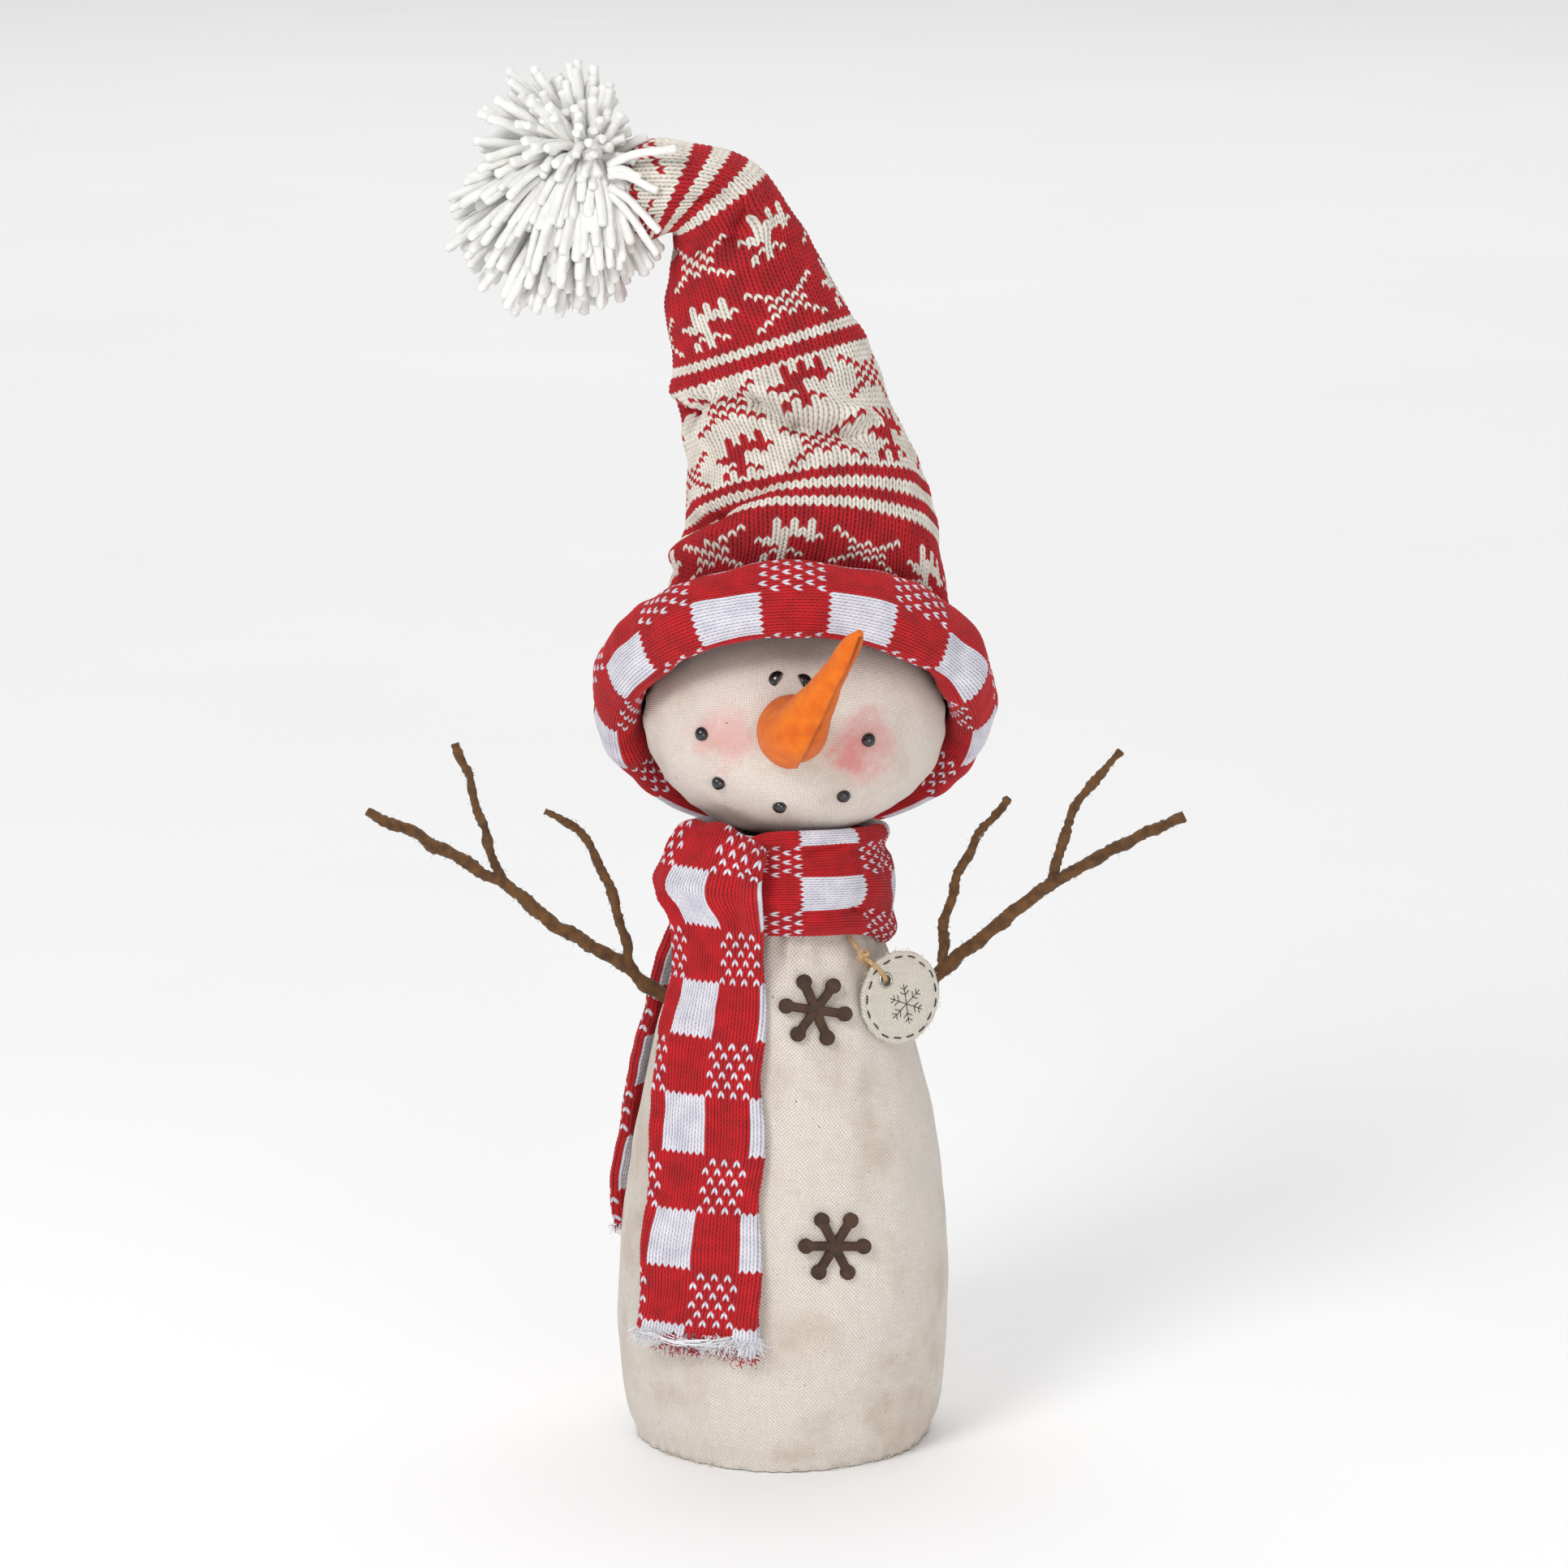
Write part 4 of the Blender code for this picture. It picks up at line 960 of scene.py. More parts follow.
def brim_axes():
    tilt = math.radians(BRIM_TILT)
    back = np.array([0, math.cos(tilt), -math.sin(tilt)])
    axis = np.array([0, math.sin(tilt), math.cos(tilt)])
    return np.array([1.0, 0, 0]), back, axis


def brim_section():
    """Angles and lengths along the brim's section, from its face side to its crown side."""
    angles = np.radians(np.linspace(*BRIM_EDGES, 200))
    flat = np.stack([BRIM_HALF_THICKNESS * np.cos(angles), BRIM_HALF_WIDTH * np.sin(angles)], -1)
    return angles, distances_along(flat)


def brim_surface(s, t):
    """s is mm across from the middle of the section, t mm round from the middle of the front."""
    angles, lengths = brim_section()
    section = np.interp(s + lengths[-1] / 2, lengths, angles)[..., None]
    turn = t / BRIM_RADIUS
    right, back, axis = brim_axes()
    out = np.sin(turn)[..., None] * right - np.cos(turn)[..., None] * back
    thick, wide = BRIM_HALF_THICKNESS * np.cos(section), BRIM_HALF_WIDTH * np.sin(section)
    point = BRIM_CENTRE + out * (BRIM_RADIUS + thick) + axis * wide
    way = unit(out * np.cos(section) / BRIM_HALF_THICKNESS + axis * np.sin(section) / BRIM_HALF_WIDTH)
    return point + way * lumps(point, 8, (0.8, 24), (0.3, 10))[..., None]


def make_brim():
    wales = int(brim_section()[1][-1] / BRIM_WALE)
    courses = BRIM_BLOCKS * BLOCK_COURSES
    course = 2 * math.pi * BRIM_RADIUS / courses
    pattern = checks(BRIM_FIRST_WALE, -BLOCK_COURSES // 2)
    for name, first, last in (("brim_knit_left", -courses // 2, 0), ("brim_knit_right", 0, courses // 2)):
        thing = knit(name, wales, first, last, brim_surface, pattern, CHECK_YARNS, BRIM_WALE, course,
                     outward=-1)
        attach(thing, "snowman")
    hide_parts("hat_brim", "hat_brim_filling")


# Scarf


def wrap_surface(s, t):
    """s is mm across from the middle of its profile, top first, t mm round from the middle of the front."""
    profile = np.array(WRAP_PROFILE, float)
    lengths = distances_along(profile)
    across = np.clip(s + lengths[-1] / 2, 0, lengths[-1])
    radius, height = np.moveaxis(smooth(lengths, profile, across), -1, 0)
    turn = t / WRAP_RADIUS
    degrees = np.degrees((turn + math.pi) % (2 * math.pi) - math.pi)
    dip = 6 * np.exp(-(((degrees - 82) / 24) ** 2)) * np.clip((222 - height) / 22, 0, 1)
    pressed = 7.5 * np.exp(-(((degrees + 58) / 38) ** 4)) * np.clip((height - 220) / 11, 0, 1)
    point = upright(radius, turn, height)
    point[..., 2] -= WRAP_SLOPE * (point[..., 1] + WRAP_RADIUS) + dip + pressed
    soft = 0.9 * ripple(point * np.array([1, 1, 2.4]), 26, 15) + 0.25 * ripple(point, 8, 16)
    inner = np.clip((radius - 31) / 5, 0, 1)
    over_tail = np.exp(-(((degrees - BACK_TURN) / 31) ** 4)) * np.clip((214 - height) / 13, 0, 1)
    moved = (soft + folded(point, WRAP_FOLDS)) * inner + 4.6 * over_tail
    return point + upright(1, turn, 0) * moved[..., None]


def make_wrap():
    wales = int(distances_along(np.array(WRAP_PROFILE, float))[-1] / WRAP_WALE)
    courses = WRAP_BLOCKS * BLOCK_COURSES
    course = 2 * math.pi * WRAP_RADIUS / courses
    first_course = round(math.radians(8) * WRAP_RADIUS / course)
    wrap = knit("scarf_wrap_knit", wales, -courses // 2, courses // 2, wrap_surface,
                checks(2, first_course, 1), CHECK_YARNS, WRAP_WALE, course)
    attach(wrap, "snowman")
    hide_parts("scarf_wrap", "scarf_front_fold")


def tail_table(route, shoulders=(0, 0)):
    """Finely spaced rows along a route, and how far the tail's edges hang down beside its top."""
    rows = np.array(route, float)
    stops = distances_along(rows[:, :2])
    at = np.linspace(0, stops[-1], 300)
    return at, smooth(stops, rows, at), shoulders


def tail_centre(table, across, t, turn):
    """A point of a tail's middle layer. across is from -0.5 to 0.5."""
    at, rows, shoulders = table
    reach, height, middle, width, tightness = read_table((at, rows), t, range(5))
    shoulder = np.where(across < 0, *shoulders) * abs(2 * across) ** 1.8
    height = height - shoulder * np.exp(-(((t - 12) / 13) ** 2))
    middle = middle + 0.5 * np.sin(t / 9)
    width = width * (1 + 0.03 * np.sin(t / 6.5 + 1.3))
    left, right = (np.arcsin(np.clip((middle + side * width / 2) * tightness / reach, -1, 1))
                   for side in (-1, 1))
    round_by = left + (across + 0.5) * (right - left)
    point = np.stack([reach / tightness * np.sin(round_by), -reach * np.cos(round_by), height], -1)
    c, s = math.cos(math.radians(turn)), math.sin(math.radians(turn))
    return point @ np.array([[c, s, 0], [-s, c, 0], [0, 0, 1]])


def tail_surface(table, turn, seed, drift):
    """A flat knitted tube. s runs round it in mm, from the middle of its back layer. It turns by drift mm."""
    width = SCARF_ROUND / 2
    step = 0.5

    def surface(s, t):
        s = s - drift * np.clip((t - 60) / (table[0][-1] - 60), 0, 1)
        share = (s / (2 * width)) % 1  # 0 at the middle of the back, 0.5 at the middle of the front
        in_front = abs(share - 0.5) <= 0.25
        across = np.where(in_front, 2 * (share - 0.5), np.where(share < 0.5, -2 * share, 2 * (1 - share)))
        front = np.clip((0.25 - abs(share - 0.5)) * width * 2 / (SCARF_THICKNESS * 0.5), -1, 1)
        middle, more, less, further, nearer = (
            tail_centre(table, across + aside / width, t + down, turn)
            for aside, down in ((0, 0), (step, 0), (-step, 0), (0, step), (0, -step)))
        out = unit(np.cross(further - nearer, more - less))
        rounded = np.sin(front * math.pi / 2)
        waves = 0.8 * ripple(middle * np.array([1.6, 1.6, 0.5]), 15, seed)
        waves = waves + 0.25 * ripple(middle, 6, seed + 1) + 1.25 * folded(middle, SCARF_FOLDS) + 0.5
        return middle + out * (rounded * SCARF_THICKNESS / 2 + waves)[..., None]

    return surface


def loose_threads(name, places, directions, lengths, radius, material, seed, droop=0.5):
    """Short wavy threads from the given places."""
    draw = np.random.default_rng(seed)
    routes, radii = [], []
    for place, way, length in zip(places, directions, lengths):
        steps = max(4, int(length / 1.2))
        share = np.linspace(0, 1, steps + 1)
        bend = draw.normal(size=(3, 3)) * length * 0.12
        route = place + np.outer(share * length, way)
        for i, wave in enumerate(bend):
            route = route + np.outer(np.sin(share * math.pi * (i + 1) * 0.8), wave)
        route = route - np.outer(share**2 * length * droop * 0.5, UP)
        routes.append(route)
        radii.append(radius * draw.uniform(0.7, 1.2))
    return many_tubes(name, routes, radii, material, 4)


def hem_threads(name, surface, t, body, tufts, seed):
    """The frayed end of a tail: tufts of thread, each from one place across to another."""
    draw = np.random.default_rng(seed)
    made = []
    for number, (look, first, last, count, longest) in enumerate(tufts):
        s = draw.uniform(first, last, count)
        places = surface(s, t + draw.uniform(-1.6, 1.0, count))
        ways = unit(draw.normal(size=(count, 3)) * np.array([0.9, 0.5, 0.5]) + np.array([0, 0, -0.7]))
        lengths = draw.uniform(0.3, 1, count) * longest
        radius = 0.15 if look == "white_thread" else 0.2
        tuft = loose_threads(f"{name}_{number}", places, ways, lengths, radius, LOOKS[look], seed + number)
        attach(tuft, body)
        made.append(tuft)
    return made


def knit_tail(name, surface, courses, pattern, keep):
    """A tail knitted as a tube, with its seam down the middle of its back layer."""
    return knit(name, SCARF_WALES, 1, courses, lambda s, t: surface(s + SCARF_ROUND / 2, t), pattern,
                CHECK_YARNS, SCARF_WALE, SCARF_COURSE, outward=-1, keep=keep)


def make_front_tail():
    table = tail_table(FRONT_ROUTE, (3.5, 9))
    surface = tail_surface(table, 0, 31, 7.5)
    courses = int((table[0][-1] - 2) / SCARF_COURSE)
    ragged = np.random.default_rng(5).integers(0, 2, SCARF_WALES)

    def keep(column, row):
        in_front = abs(column - SCARF_WALES / 2 + 0.5) < SCARF_WALES / 4 + 0.6
        return ~(in_front & (row >= courses - 4 - ragged[column])) & (row < courses - ragged[column[:, ::-1]])

    pattern = checks(SCARF_WALES // 2 - 5, courses - 19)
    tail = knit_tail("scarf_front_knit", surface, courses, pattern, keep)
    middle, quarter = SCARF_ROUND / 2, SCARF_ROUND / 4
    hem = hem_threads("front_hem", surface, (courses - 4.3) * SCARF_COURSE, "front_tail", [
        ("white_thread", middle - quarter - 1, middle - 3, 330, 5.2),
        ("red_thread", middle - 3, middle + 12, 70, 2.6),
        ("white_thread", middle + 11, middle + quarter + 8, 260, 5.2),
    ], 71)
    hem += hem_threads("front_under_hem", surface, (courses - 0.6) * SCARF_COURSE, "front_tail", [
        ("red_thread", -quarter, quarter, 110, 3), ("white_thread", -quarter, quarter, 60, 3.4),
    ], 75)
    hem.append(long_hem_threads(surface, middle, quarter, (courses - 4.5) * SCARF_COURSE))
    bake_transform(tail)
    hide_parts("scarf_front_tail")


def long_hem_threads(surface, middle, quarter, t):
    """White threads that have come loose and hang in shallow arcs along the hem."""
    draw = np.random.default_rng(91)
    routes = []
    for i in range(12):
        first, last = middle - quarter * draw.uniform(0.1, 0.75), middle + quarter * draw.uniform(0.4, 1.0)
        share = np.linspace(0, 1, 18)
        route = surface(first + (last - first) * share, np.full(18, t + draw.uniform(-1.2, 2)))
        sag = draw.uniform(0.2, 3)
        route = route - np.outer(np.sin(share * math.pi) * sag, UP)
        route = route + np.array([0, -draw.uniform(0.5, 1.6), 0])
        if i % 3 == 0:
            reach = draw.uniform(2, 7)
            route = route + np.outer(share**2 * reach, np.array([1, -0.1, draw.uniform(-0.3, 0.5)]))
        routes.append(route + 0.35 * np.sin(np.outer(share * 9 + i, [1, 1.3, 0.8])))
    threads = many_tubes("front_hem_loose", routes, [0.22] * len(routes), LOOKS["white_thread"], 5)
    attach(threads, "front_tail")
    return threads


def make_back_tail():
    table = tail_table(BACK_ROUTE)
    surface = tail_surface(table, BACK_TURN, 41, 0)
    courses = int((table[0][-1] - 1) / SCARF_COURSE)
    ragged = np.random.default_rng(6).integers(0, 2, SCARF_WALES)
    tail = knit_tail("scarf_back_knit", surface, courses, checks(SCARF_WALES // 2 - 4, 2),
                     lambda column, row: row < courses - ragged[column])
    hem = hem_threads("back_hem", surface, (courses - 0.6) * SCARF_COURSE, "back_tail", [
        ("white_thread", 0, SCARF_ROUND, 260, 4), ("red_thread", 0, SCARF_ROUND, 120, 2.6),
    ], 81)
    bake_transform(tail)
    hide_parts("scarf_back_tail")


# Canvas body and head


def body_radius(height):
    heights, radii = zip(*BODY_OUTLINE)
    return smooth(heights, np.array(radii)[:, None], height)[..., 0]


def make_body():
    """The body's cover: a front and a back panel of canvas, sewn up both sides and round the base."""
    heights = np.concatenate([[0.3, 0.9, 1.6, 2.4], np.linspace(3.4, 229, 190)])
    turn, height = np.meshgrid(np.radians(np.linspace(-180, 180, 361)), heights)
    radius = body_radius(height)
    point = upright(radius, turn, height)
    soft = lumps(point, 21, (0.7, 46), (0.28, 15))
    gathers = 0.7 * np.sin(turn * 23 + 2 * np.sin(turn * 5)) * np.exp(-(((height - 196) / 16) ** 2))
    puckers = 0.45 * np.sin(turn * 41 + 3 * np.sin(turn * 7)) * np.exp(-height / 7)
    side = np.minimum(abs(turn - math.pi / 2), abs(turn + math.pi / 2)) * radius
    seam = -0.7 * np.exp(-((side / 1.1) ** 2)) * (1 + 0.4 * np.sin(height * 2 * math.pi / 3.2))
    rim = -0.3 * np.exp(-(((height - 5.5) / 2) ** 2))
    moved = soft + gathers + puckers + seam + rim
    moved = moved + folded(point, ARM_DIPS) + folded(point, BODY_CREASES) - 0.15
    panel = np.where(abs(turn) <= math.pi / 2, turn, turn - np.sign(turn) * math.pi)
    cloth = np.stack([panel * radius + OTHER_PANEL * (abs(turn) > math.pi / 2), height], -1)
    points = point + upright(1, turn, 0) * moved[..., None]
    body = weld(grid_object("body_canvas", points, LOOKS["canvas"], cloth=cloth))
    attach(body, "snowman")
    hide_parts("body_cover", "body_filling")


def make_base_hem():
    """Frayed threads where the canvas turns under at the base."""
    draw = np.random.default_rng(17)
    count = 240
    at = draw.uniform(-math.pi, math.pi, count)
    places = upright(BASE_HEM_RADIUS, at, draw.uniform(0.3, 1.4, count))
    tangent = polar(1, at, 0) * draw.choice([-1, 1], count)[:, None]
    ways = upright(1, at, 0) * draw.uniform(0.2, 1, (count, 1))
    ways = unit(ways + tangent * draw.uniform(0.2, 1.2, (count, 1)))
    threads = loose_threads("base_hem_threads", places, ways, draw.uniform(0.8, 2.6, count), 0.1,
                            LOOKS["cream_thread"], 19, 0.0)
    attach(threads, "snowman")


def make_head():
    """A stuffed canvas ball, sewn from a front and a back disc."""
    rounds, ups = np.radians(np.meshgrid(np.linspace(-180, 180, 241), np.linspace(-89.5, 89.5, 150)))
    way = upright(np.cos(ups), rounds, np.sin(ups))
    point = HEAD_CENTRE + way * HEAD_HALF
    from_seam = abs(point[..., 1])
    rim_turn = np.arctan2(point[..., 0] - HEAD_CENTRE[0], point[..., 2] - HEAD_CENTRE[2])
    seam = (-0.9 + 0.35 * np.sin(rim_turn * 46)) * np.exp(-((from_seam / 1.3) ** 2))
    pucker = 0.3 * np.sin(rim_turn * 34 + 2 * np.sin(rim_turn * 5)) * np.exp(-((from_seam / 9) ** 2))
    soft = lumps(point, 23, (0.45, 34), (0.16, 11))
    by_beads = folded(point, [((x, -43, z), (x, -44, z), -0.35, 2.6) for x, z in BEADS.values()])
    moved = seam + pucker + soft + by_beads + 0.1
    from_front = np.arccos(abs(way[..., 1])) / np.maximum(np.hypot(way[..., 0], way[..., 2]), 1e-6)
    cloth = np.stack([way[..., 0] * from_front * HEAD_HALF[0] + np.where(way[..., 1] > 0, OTHER_PANEL, 0.0),
                      way[..., 2] * from_front * HEAD_HALF[2]], -1)
    points = point + unit(way / HEAD_HALF) * moved[..., None]
    head = weld(grid_object("head_canvas", points, LOOKS["face_canvas"], cloth=cloth), 0.5)
    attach(head, "snowman")
    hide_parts("head_cover", "head_filling")


def head_front(x, height):
    dx, dz = (x - HEAD_CENTRE[0]) / HEAD_HALF[0], (height - HEAD_CENTRE[2]) / HEAD_HALF[2]
    return -HEAD_HALF[1] * math.sqrt(1 - dx * dx - dz * dz)


def facing(turn, up):
    """The direction turned from the front and lifted by these degrees."""
    turn, up = math.radians(turn), math.radians(up)
    return Vector((math.sin(turn) * math.cos(up), -math.cos(turn) * math.cos(up), math.sin(up)))


def facing_axes(normal):
    """Across, up and out of something that faces along normal."""
    normal = Vector(normal).normalized()
    across = Vector(UP).cross(normal).normalized()
    return across, normal.cross(across), normal


def place_on(points, centre, axes):
    """Moves points from local across, up and out to the frame."""
    parts = zip(np.moveaxis(points, -1, 0), axes)
    return np.array(centre) + sum(part[..., None] * np.array(axis) for part, axis in parts)


def make_beads():
    """Shiny half-round beads, a little sunk into the cloth. The eyes' have a cut side."""
    for name, (x, height) in BEADS.items():
        turns, ups = np.meshgrid(np.linspace(0, 2 * math.pi, 33), np.linspace(-0.3, math.pi / 2 - 0.02, 14))
        radius = BEAD_RADIUS * np.cos(ups) * (1 + 0.025 * np.sin(3 * turns + x))
        local = polar(radius, turns, BEAD_DEPTH * np.sin(ups))
        if name in EYES:
            local[..., :2] *= EYE_SIZE
            cut = math.radians(EYES[name])
            way = np.array([math.cos(cut), math.sin(cut)])
            past = np.maximum(local[..., :2] @ way - EYE_CUT, 0)
            local[..., :2] -= 0.85 * past[..., None] * way
        centre = np.array([x, head_front(x, height), height])
        axes = facing_axes((centre - HEAD_CENTRE) / HEAD_HALF**2)
        points = place_on(local, centre + BEAD_RISE * np.array(axes[2]), axes)
        bead = close_holes(weld(grid_object(name + "_look", points, LOOKS["bead"]), 0.1))
        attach(bead, "snowman")
        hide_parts(name)


def make_nose():
    """Felt rolled into a cone, its edge lapped over and sewn down its right side."""
    table = loft_table(NOSE_SECTIONS, 200)
    rows = np.linspace(0, table[0][-1], 110)[:, None]
    seam_turn = np.radians(np.interp(rows / rows[-1], *zip(*NOSE_SEAM)))
    edge_turn, edge_drop = np.transpose(NOSE_EDGE)
    turn_share = np.concatenate([np.linspace(0, 1, 91), edge_turn])
    drop = np.concatenate([np.zeros(91), edge_drop])
    angle = seam_turn - NOSE_LAP + turn_share * (2 * math.pi + NOSE_LAP)
    place = np.broadcast_to(rows, angle.shape)
    point, out = loft_point(table, place, angle)
    grown = np.clip((angle - seam_turn + NOSE_LAP) / (NOSE_LAP + 1.9), 0, 1)
    radius = np.linalg.norm(point - loft_point(table, place, angle + math.pi)[0], axis=-1) / 2
    thickness = np.minimum(FELT_THICKNESS, 0.45 * radius)
    felt = lumps(point, 27, (0.16, 9), (0.06, 1.8))
    moved = (grown - 1) * thickness - drop * thickness + felt
    # Painted shadow in "hollow": darkest just beside the lapped edge, fainter over the strip beyond, and a
    # thin line along the lap's edge on the top layer.
    past = (angle - seam_turn) * radius
    shadow_beside_lap = 0.85 * np.exp(-((past / 1.6) ** 2)) + 0.3 * np.exp(-past / 12)
    hollow = np.where((past >= 0) & (turn_share < 0.5), shadow_beside_lap, 0)
    shadow_at_lap_edge = 0.45 * np.exp(-((past - 2 * math.pi * radius) / 0.5) ** 2)
    hollow = hollow + np.where(turn_share > 0.5, shadow_at_lap_edge, 0)
    cloth = np.stack([angle * 9, place], -1)
    nose = grid_object("nose_felt", point + out * moved[..., None], LOOKS["orange_felt"], cloth=cloth)
    add_values(nose.data, "hollow", np.clip(hollow, 0, 1))
    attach(nose, "snowman")
    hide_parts("nose_cover", "nose_filling")
    make_nose_tip(table)


def make_nose_tip(table):
    """The closed end of the cone."""
    turns, ups = np.meshgrid(np.linspace(0, 2 * math.pi, 33), np.linspace(0, math.pi / 2 - 0.02, 8))
    rim, _ = loft_point(table, np.full(turns.shape, table[0][-1]), turns)
    centre, across, other = (table[1][-1, i:i + 3] for i in (0, 3, 6))
    points = centre + (rim - centre) * np.cos(ups)[..., None]
    points = points + np.cross(across, other) * (1.3 * np.sin(ups))[..., None]
    cloth = np.stack([turns * 2, ups], -1)
    tip = weld(grid_object("nose_tip", points, LOOKS["orange_felt"], cloth=cloth), 0.05)
    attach(tip, "snowman")


# Pompom, twigs, buttons and tag


def strand_radii(thickness):
    radii = thickness * STRAND_RADIUS * np.ones(len(STRAND_PLACES))
    radii[-3:] *= STRAND_END
    return radii


def pompom_strand(number, draw):
    """A strand's route and its thickness, or nothing for most of those that would lie in the hat's tip."""
    height = 1 - 2 * (number + 0.5) / STRANDS
    turn = number * GOLDEN_ANGLE
    flat = math.sqrt(1 - height * height)
    way = np.array([flat * math.cos(turn), flat * math.sin(turn), height]) + draw.normal(size=3) * 0.13
    way = unit(way)
    forward, up, right = abs(way[1]), way[2], way[0]
    if right > 0.35 and draw.random() < 0.6 or right > 0.85:
        return None
    length = 34 + 15 * max(0.0, -right) + 20 * max(0.0, -up) - 12 * max(0.0, right)
    length = length * (1 - 0.38 * forward) * draw.uniform(0.84, 1.05)
    droop = (24 * forward * (1 - 0.7 * max(0.0, up)) + 6 * (1 - abs(up))) * draw.uniform(0.7, 1.3)
    curl = np.cross(way, unit(draw.normal(size=3))) * draw.uniform(1, 4.5)
    start = POMPOM_CENTRE + draw.normal(size=3) * 1.8
    share = STRAND_PLACES
    route = start + np.outer(share * length, way)
    route = route + np.outer(np.sin(share * math.pi) * 0.6 + share**2, curl)
    return route - np.outer(share**2 * droop, UP), draw.uniform(0.88, 1.12)


def stray_strand(height, reach):
    """The route of a strand that lies over the hat's tip."""
    share = STRAND_PLACES
    start = np.array([-62, -17.5, 468 + 0.5 * height])
    route = start + np.outer(share * reach, unit(np.array([1, -0.22, height / 14])))
    return route - np.outer(share**2 * 3, UP) + np.outer(np.sin(share * 5), UP * 0.8)


def make_pompom():
    """Cut strands of soft yarn, tied in the middle and hanging where they are long."""
    draw = np.random.default_rng(63)
    routes, radii = [], []
    for number in range(STRANDS):
        strand = pompom_strand(number, draw)
        if strand:
            routes.append(strand[0])
            radii.append(strand_radii(strand[1]))
            radii[-1][0] *= 0.7
    for height, reach in STRAYS:
        routes.append(stray_strand(height, reach))
        radii.append(strand_radii(0.85))
    pompom = many_tubes("pompom_strands", routes, radii, LOOKS["pompom"], 10, lobes=3, lobe_height=0.13,
                        twist=32)
    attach(pompom, "pompom_ball")
    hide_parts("pompom")


def wound_route(points, seed):
    """A smooth route through the points that also wanders a little, as hand-wound twigs do."""
    points = np.array(points, float)
    stops = distances_along(points)
    at = np.linspace(0, stops[-1], max(12, int(stops[-1] / 0.9)))
    route = smooth(stops, points, at)
    wander = np.stack([ripple(route, 9, seed + i, 7) for i in range(3)], -1) * np.array([0.55, 0.4, 0.55])
    ends = np.clip(np.minimum(at, stops[-1] - at) / 8, 0, 1)
    return route + wander * ends[:, None], at


def make_twigs():
    """Brown fibre wound round wire: lumpy, with knobs and loose hairs, and cut square at the end."""
    for number, (name, points) in enumerate(TWIG_ROUTES.items()):
        route, at = wound_route(points, 100 + 10 * number)
        start, end = TWIG_RADII.get(name, BRANCH_RADII)
        radii = start + (end - start) * (at / at[-1])
        radii = radii * (1 + 0.13 * ripple(route, 5, 140 + number)) + 0.12 * np.sin(at * 2 * math.pi / 2.6)
        radii[-1] *= 0.9
        rings, distance, angles = tube_points(route, radii, 20)
        rough = 0.16 * ripple(rings, 1.9, 160 + number) + 0.12 * ripple(rings, 4.5, 170 + number)
        wind = 0.12 * np.sin(4 * angles[None] * 0.5 + distance[:, None] * 2 * math.pi / 3.1)
        out = unit(rings - route[:, None])
        rings = rings + out * (rough + wind)[..., None]
        rings[:, -1] = rings[:, 0]
        cloth = np.stack(np.meshgrid(angles * 2, distance), -1)
        twig = close_holes(weld(grid_object(name + "_fibre", rings, LOOKS["brown_felt"], cloth=cloth), 0.005))
        twig = joined(name + "_fibre", [twig, twig_hairs(name, route, radii, out, 180 + number)])
        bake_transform(twig)
        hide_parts(name + "_twig")


def twig_hairs(name, route, radii, out, seed):
    draw = np.random.default_rng(seed)
    count = int(len(route) * 1.9)
    rows, columns = draw.integers(2, len(route) - 1, count), draw.integers(0, out.shape[1], count)
    ways = unit(out[rows, columns] + draw.normal(size=(count, 3)) * 0.7)
    places = route[rows] + out[rows, columns] * (radii[rows] - 0.25)[:, None]
    routes, widths = [], []
    for place, way in zip(places, ways):
        length = draw.uniform(0.7, 1.9)
        bend = draw.normal(size=3) * 0.25
        share = np.array([0, 0.5, 1.0])
        routes.append(place + np.outer(share * length, way) + np.outer(share**2, bend))
        widths.append(np.array([0.07, 0.055, 0.03]))
    return many_tubes(name + "_hairs", routes, widths, LOOKS["brown_felt"], 3)


def button_outline():
    """A snowflake of arms with round ends, as points round its edge."""
    neck = math.asin(BUTTON_ARM_HALF / BUTTON_BALL_RADIUS)
    valley = BUTTON_ARM_HALF / math.sin(math.pi / BUTTON_ARMS)
    ball_points = 20
    outline = []
    for arm in range(BUTTON_ARMS):
        spin = 2 * math.pi * arm / BUTTON_ARMS
        corner = spin - math.pi / BUTTON_ARMS
        outline.append((valley * math.cos(corner), valley * math.sin(corner)))
        for i in range(ball_points):
            angle = -math.pi + neck + (2 * math.pi - 2 * neck) * i / (ball_points - 1)
            x, y = BUTTON_REACH + BUTTON_BALL_RADIUS * math.cos(angle), BUTTON_BALL_RADIUS * math.sin(angle)
            outline.append((x * math.cos(spin) - y * math.sin(spin), x * math.sin(spin) + y * math.cos(spin)))
    return outline


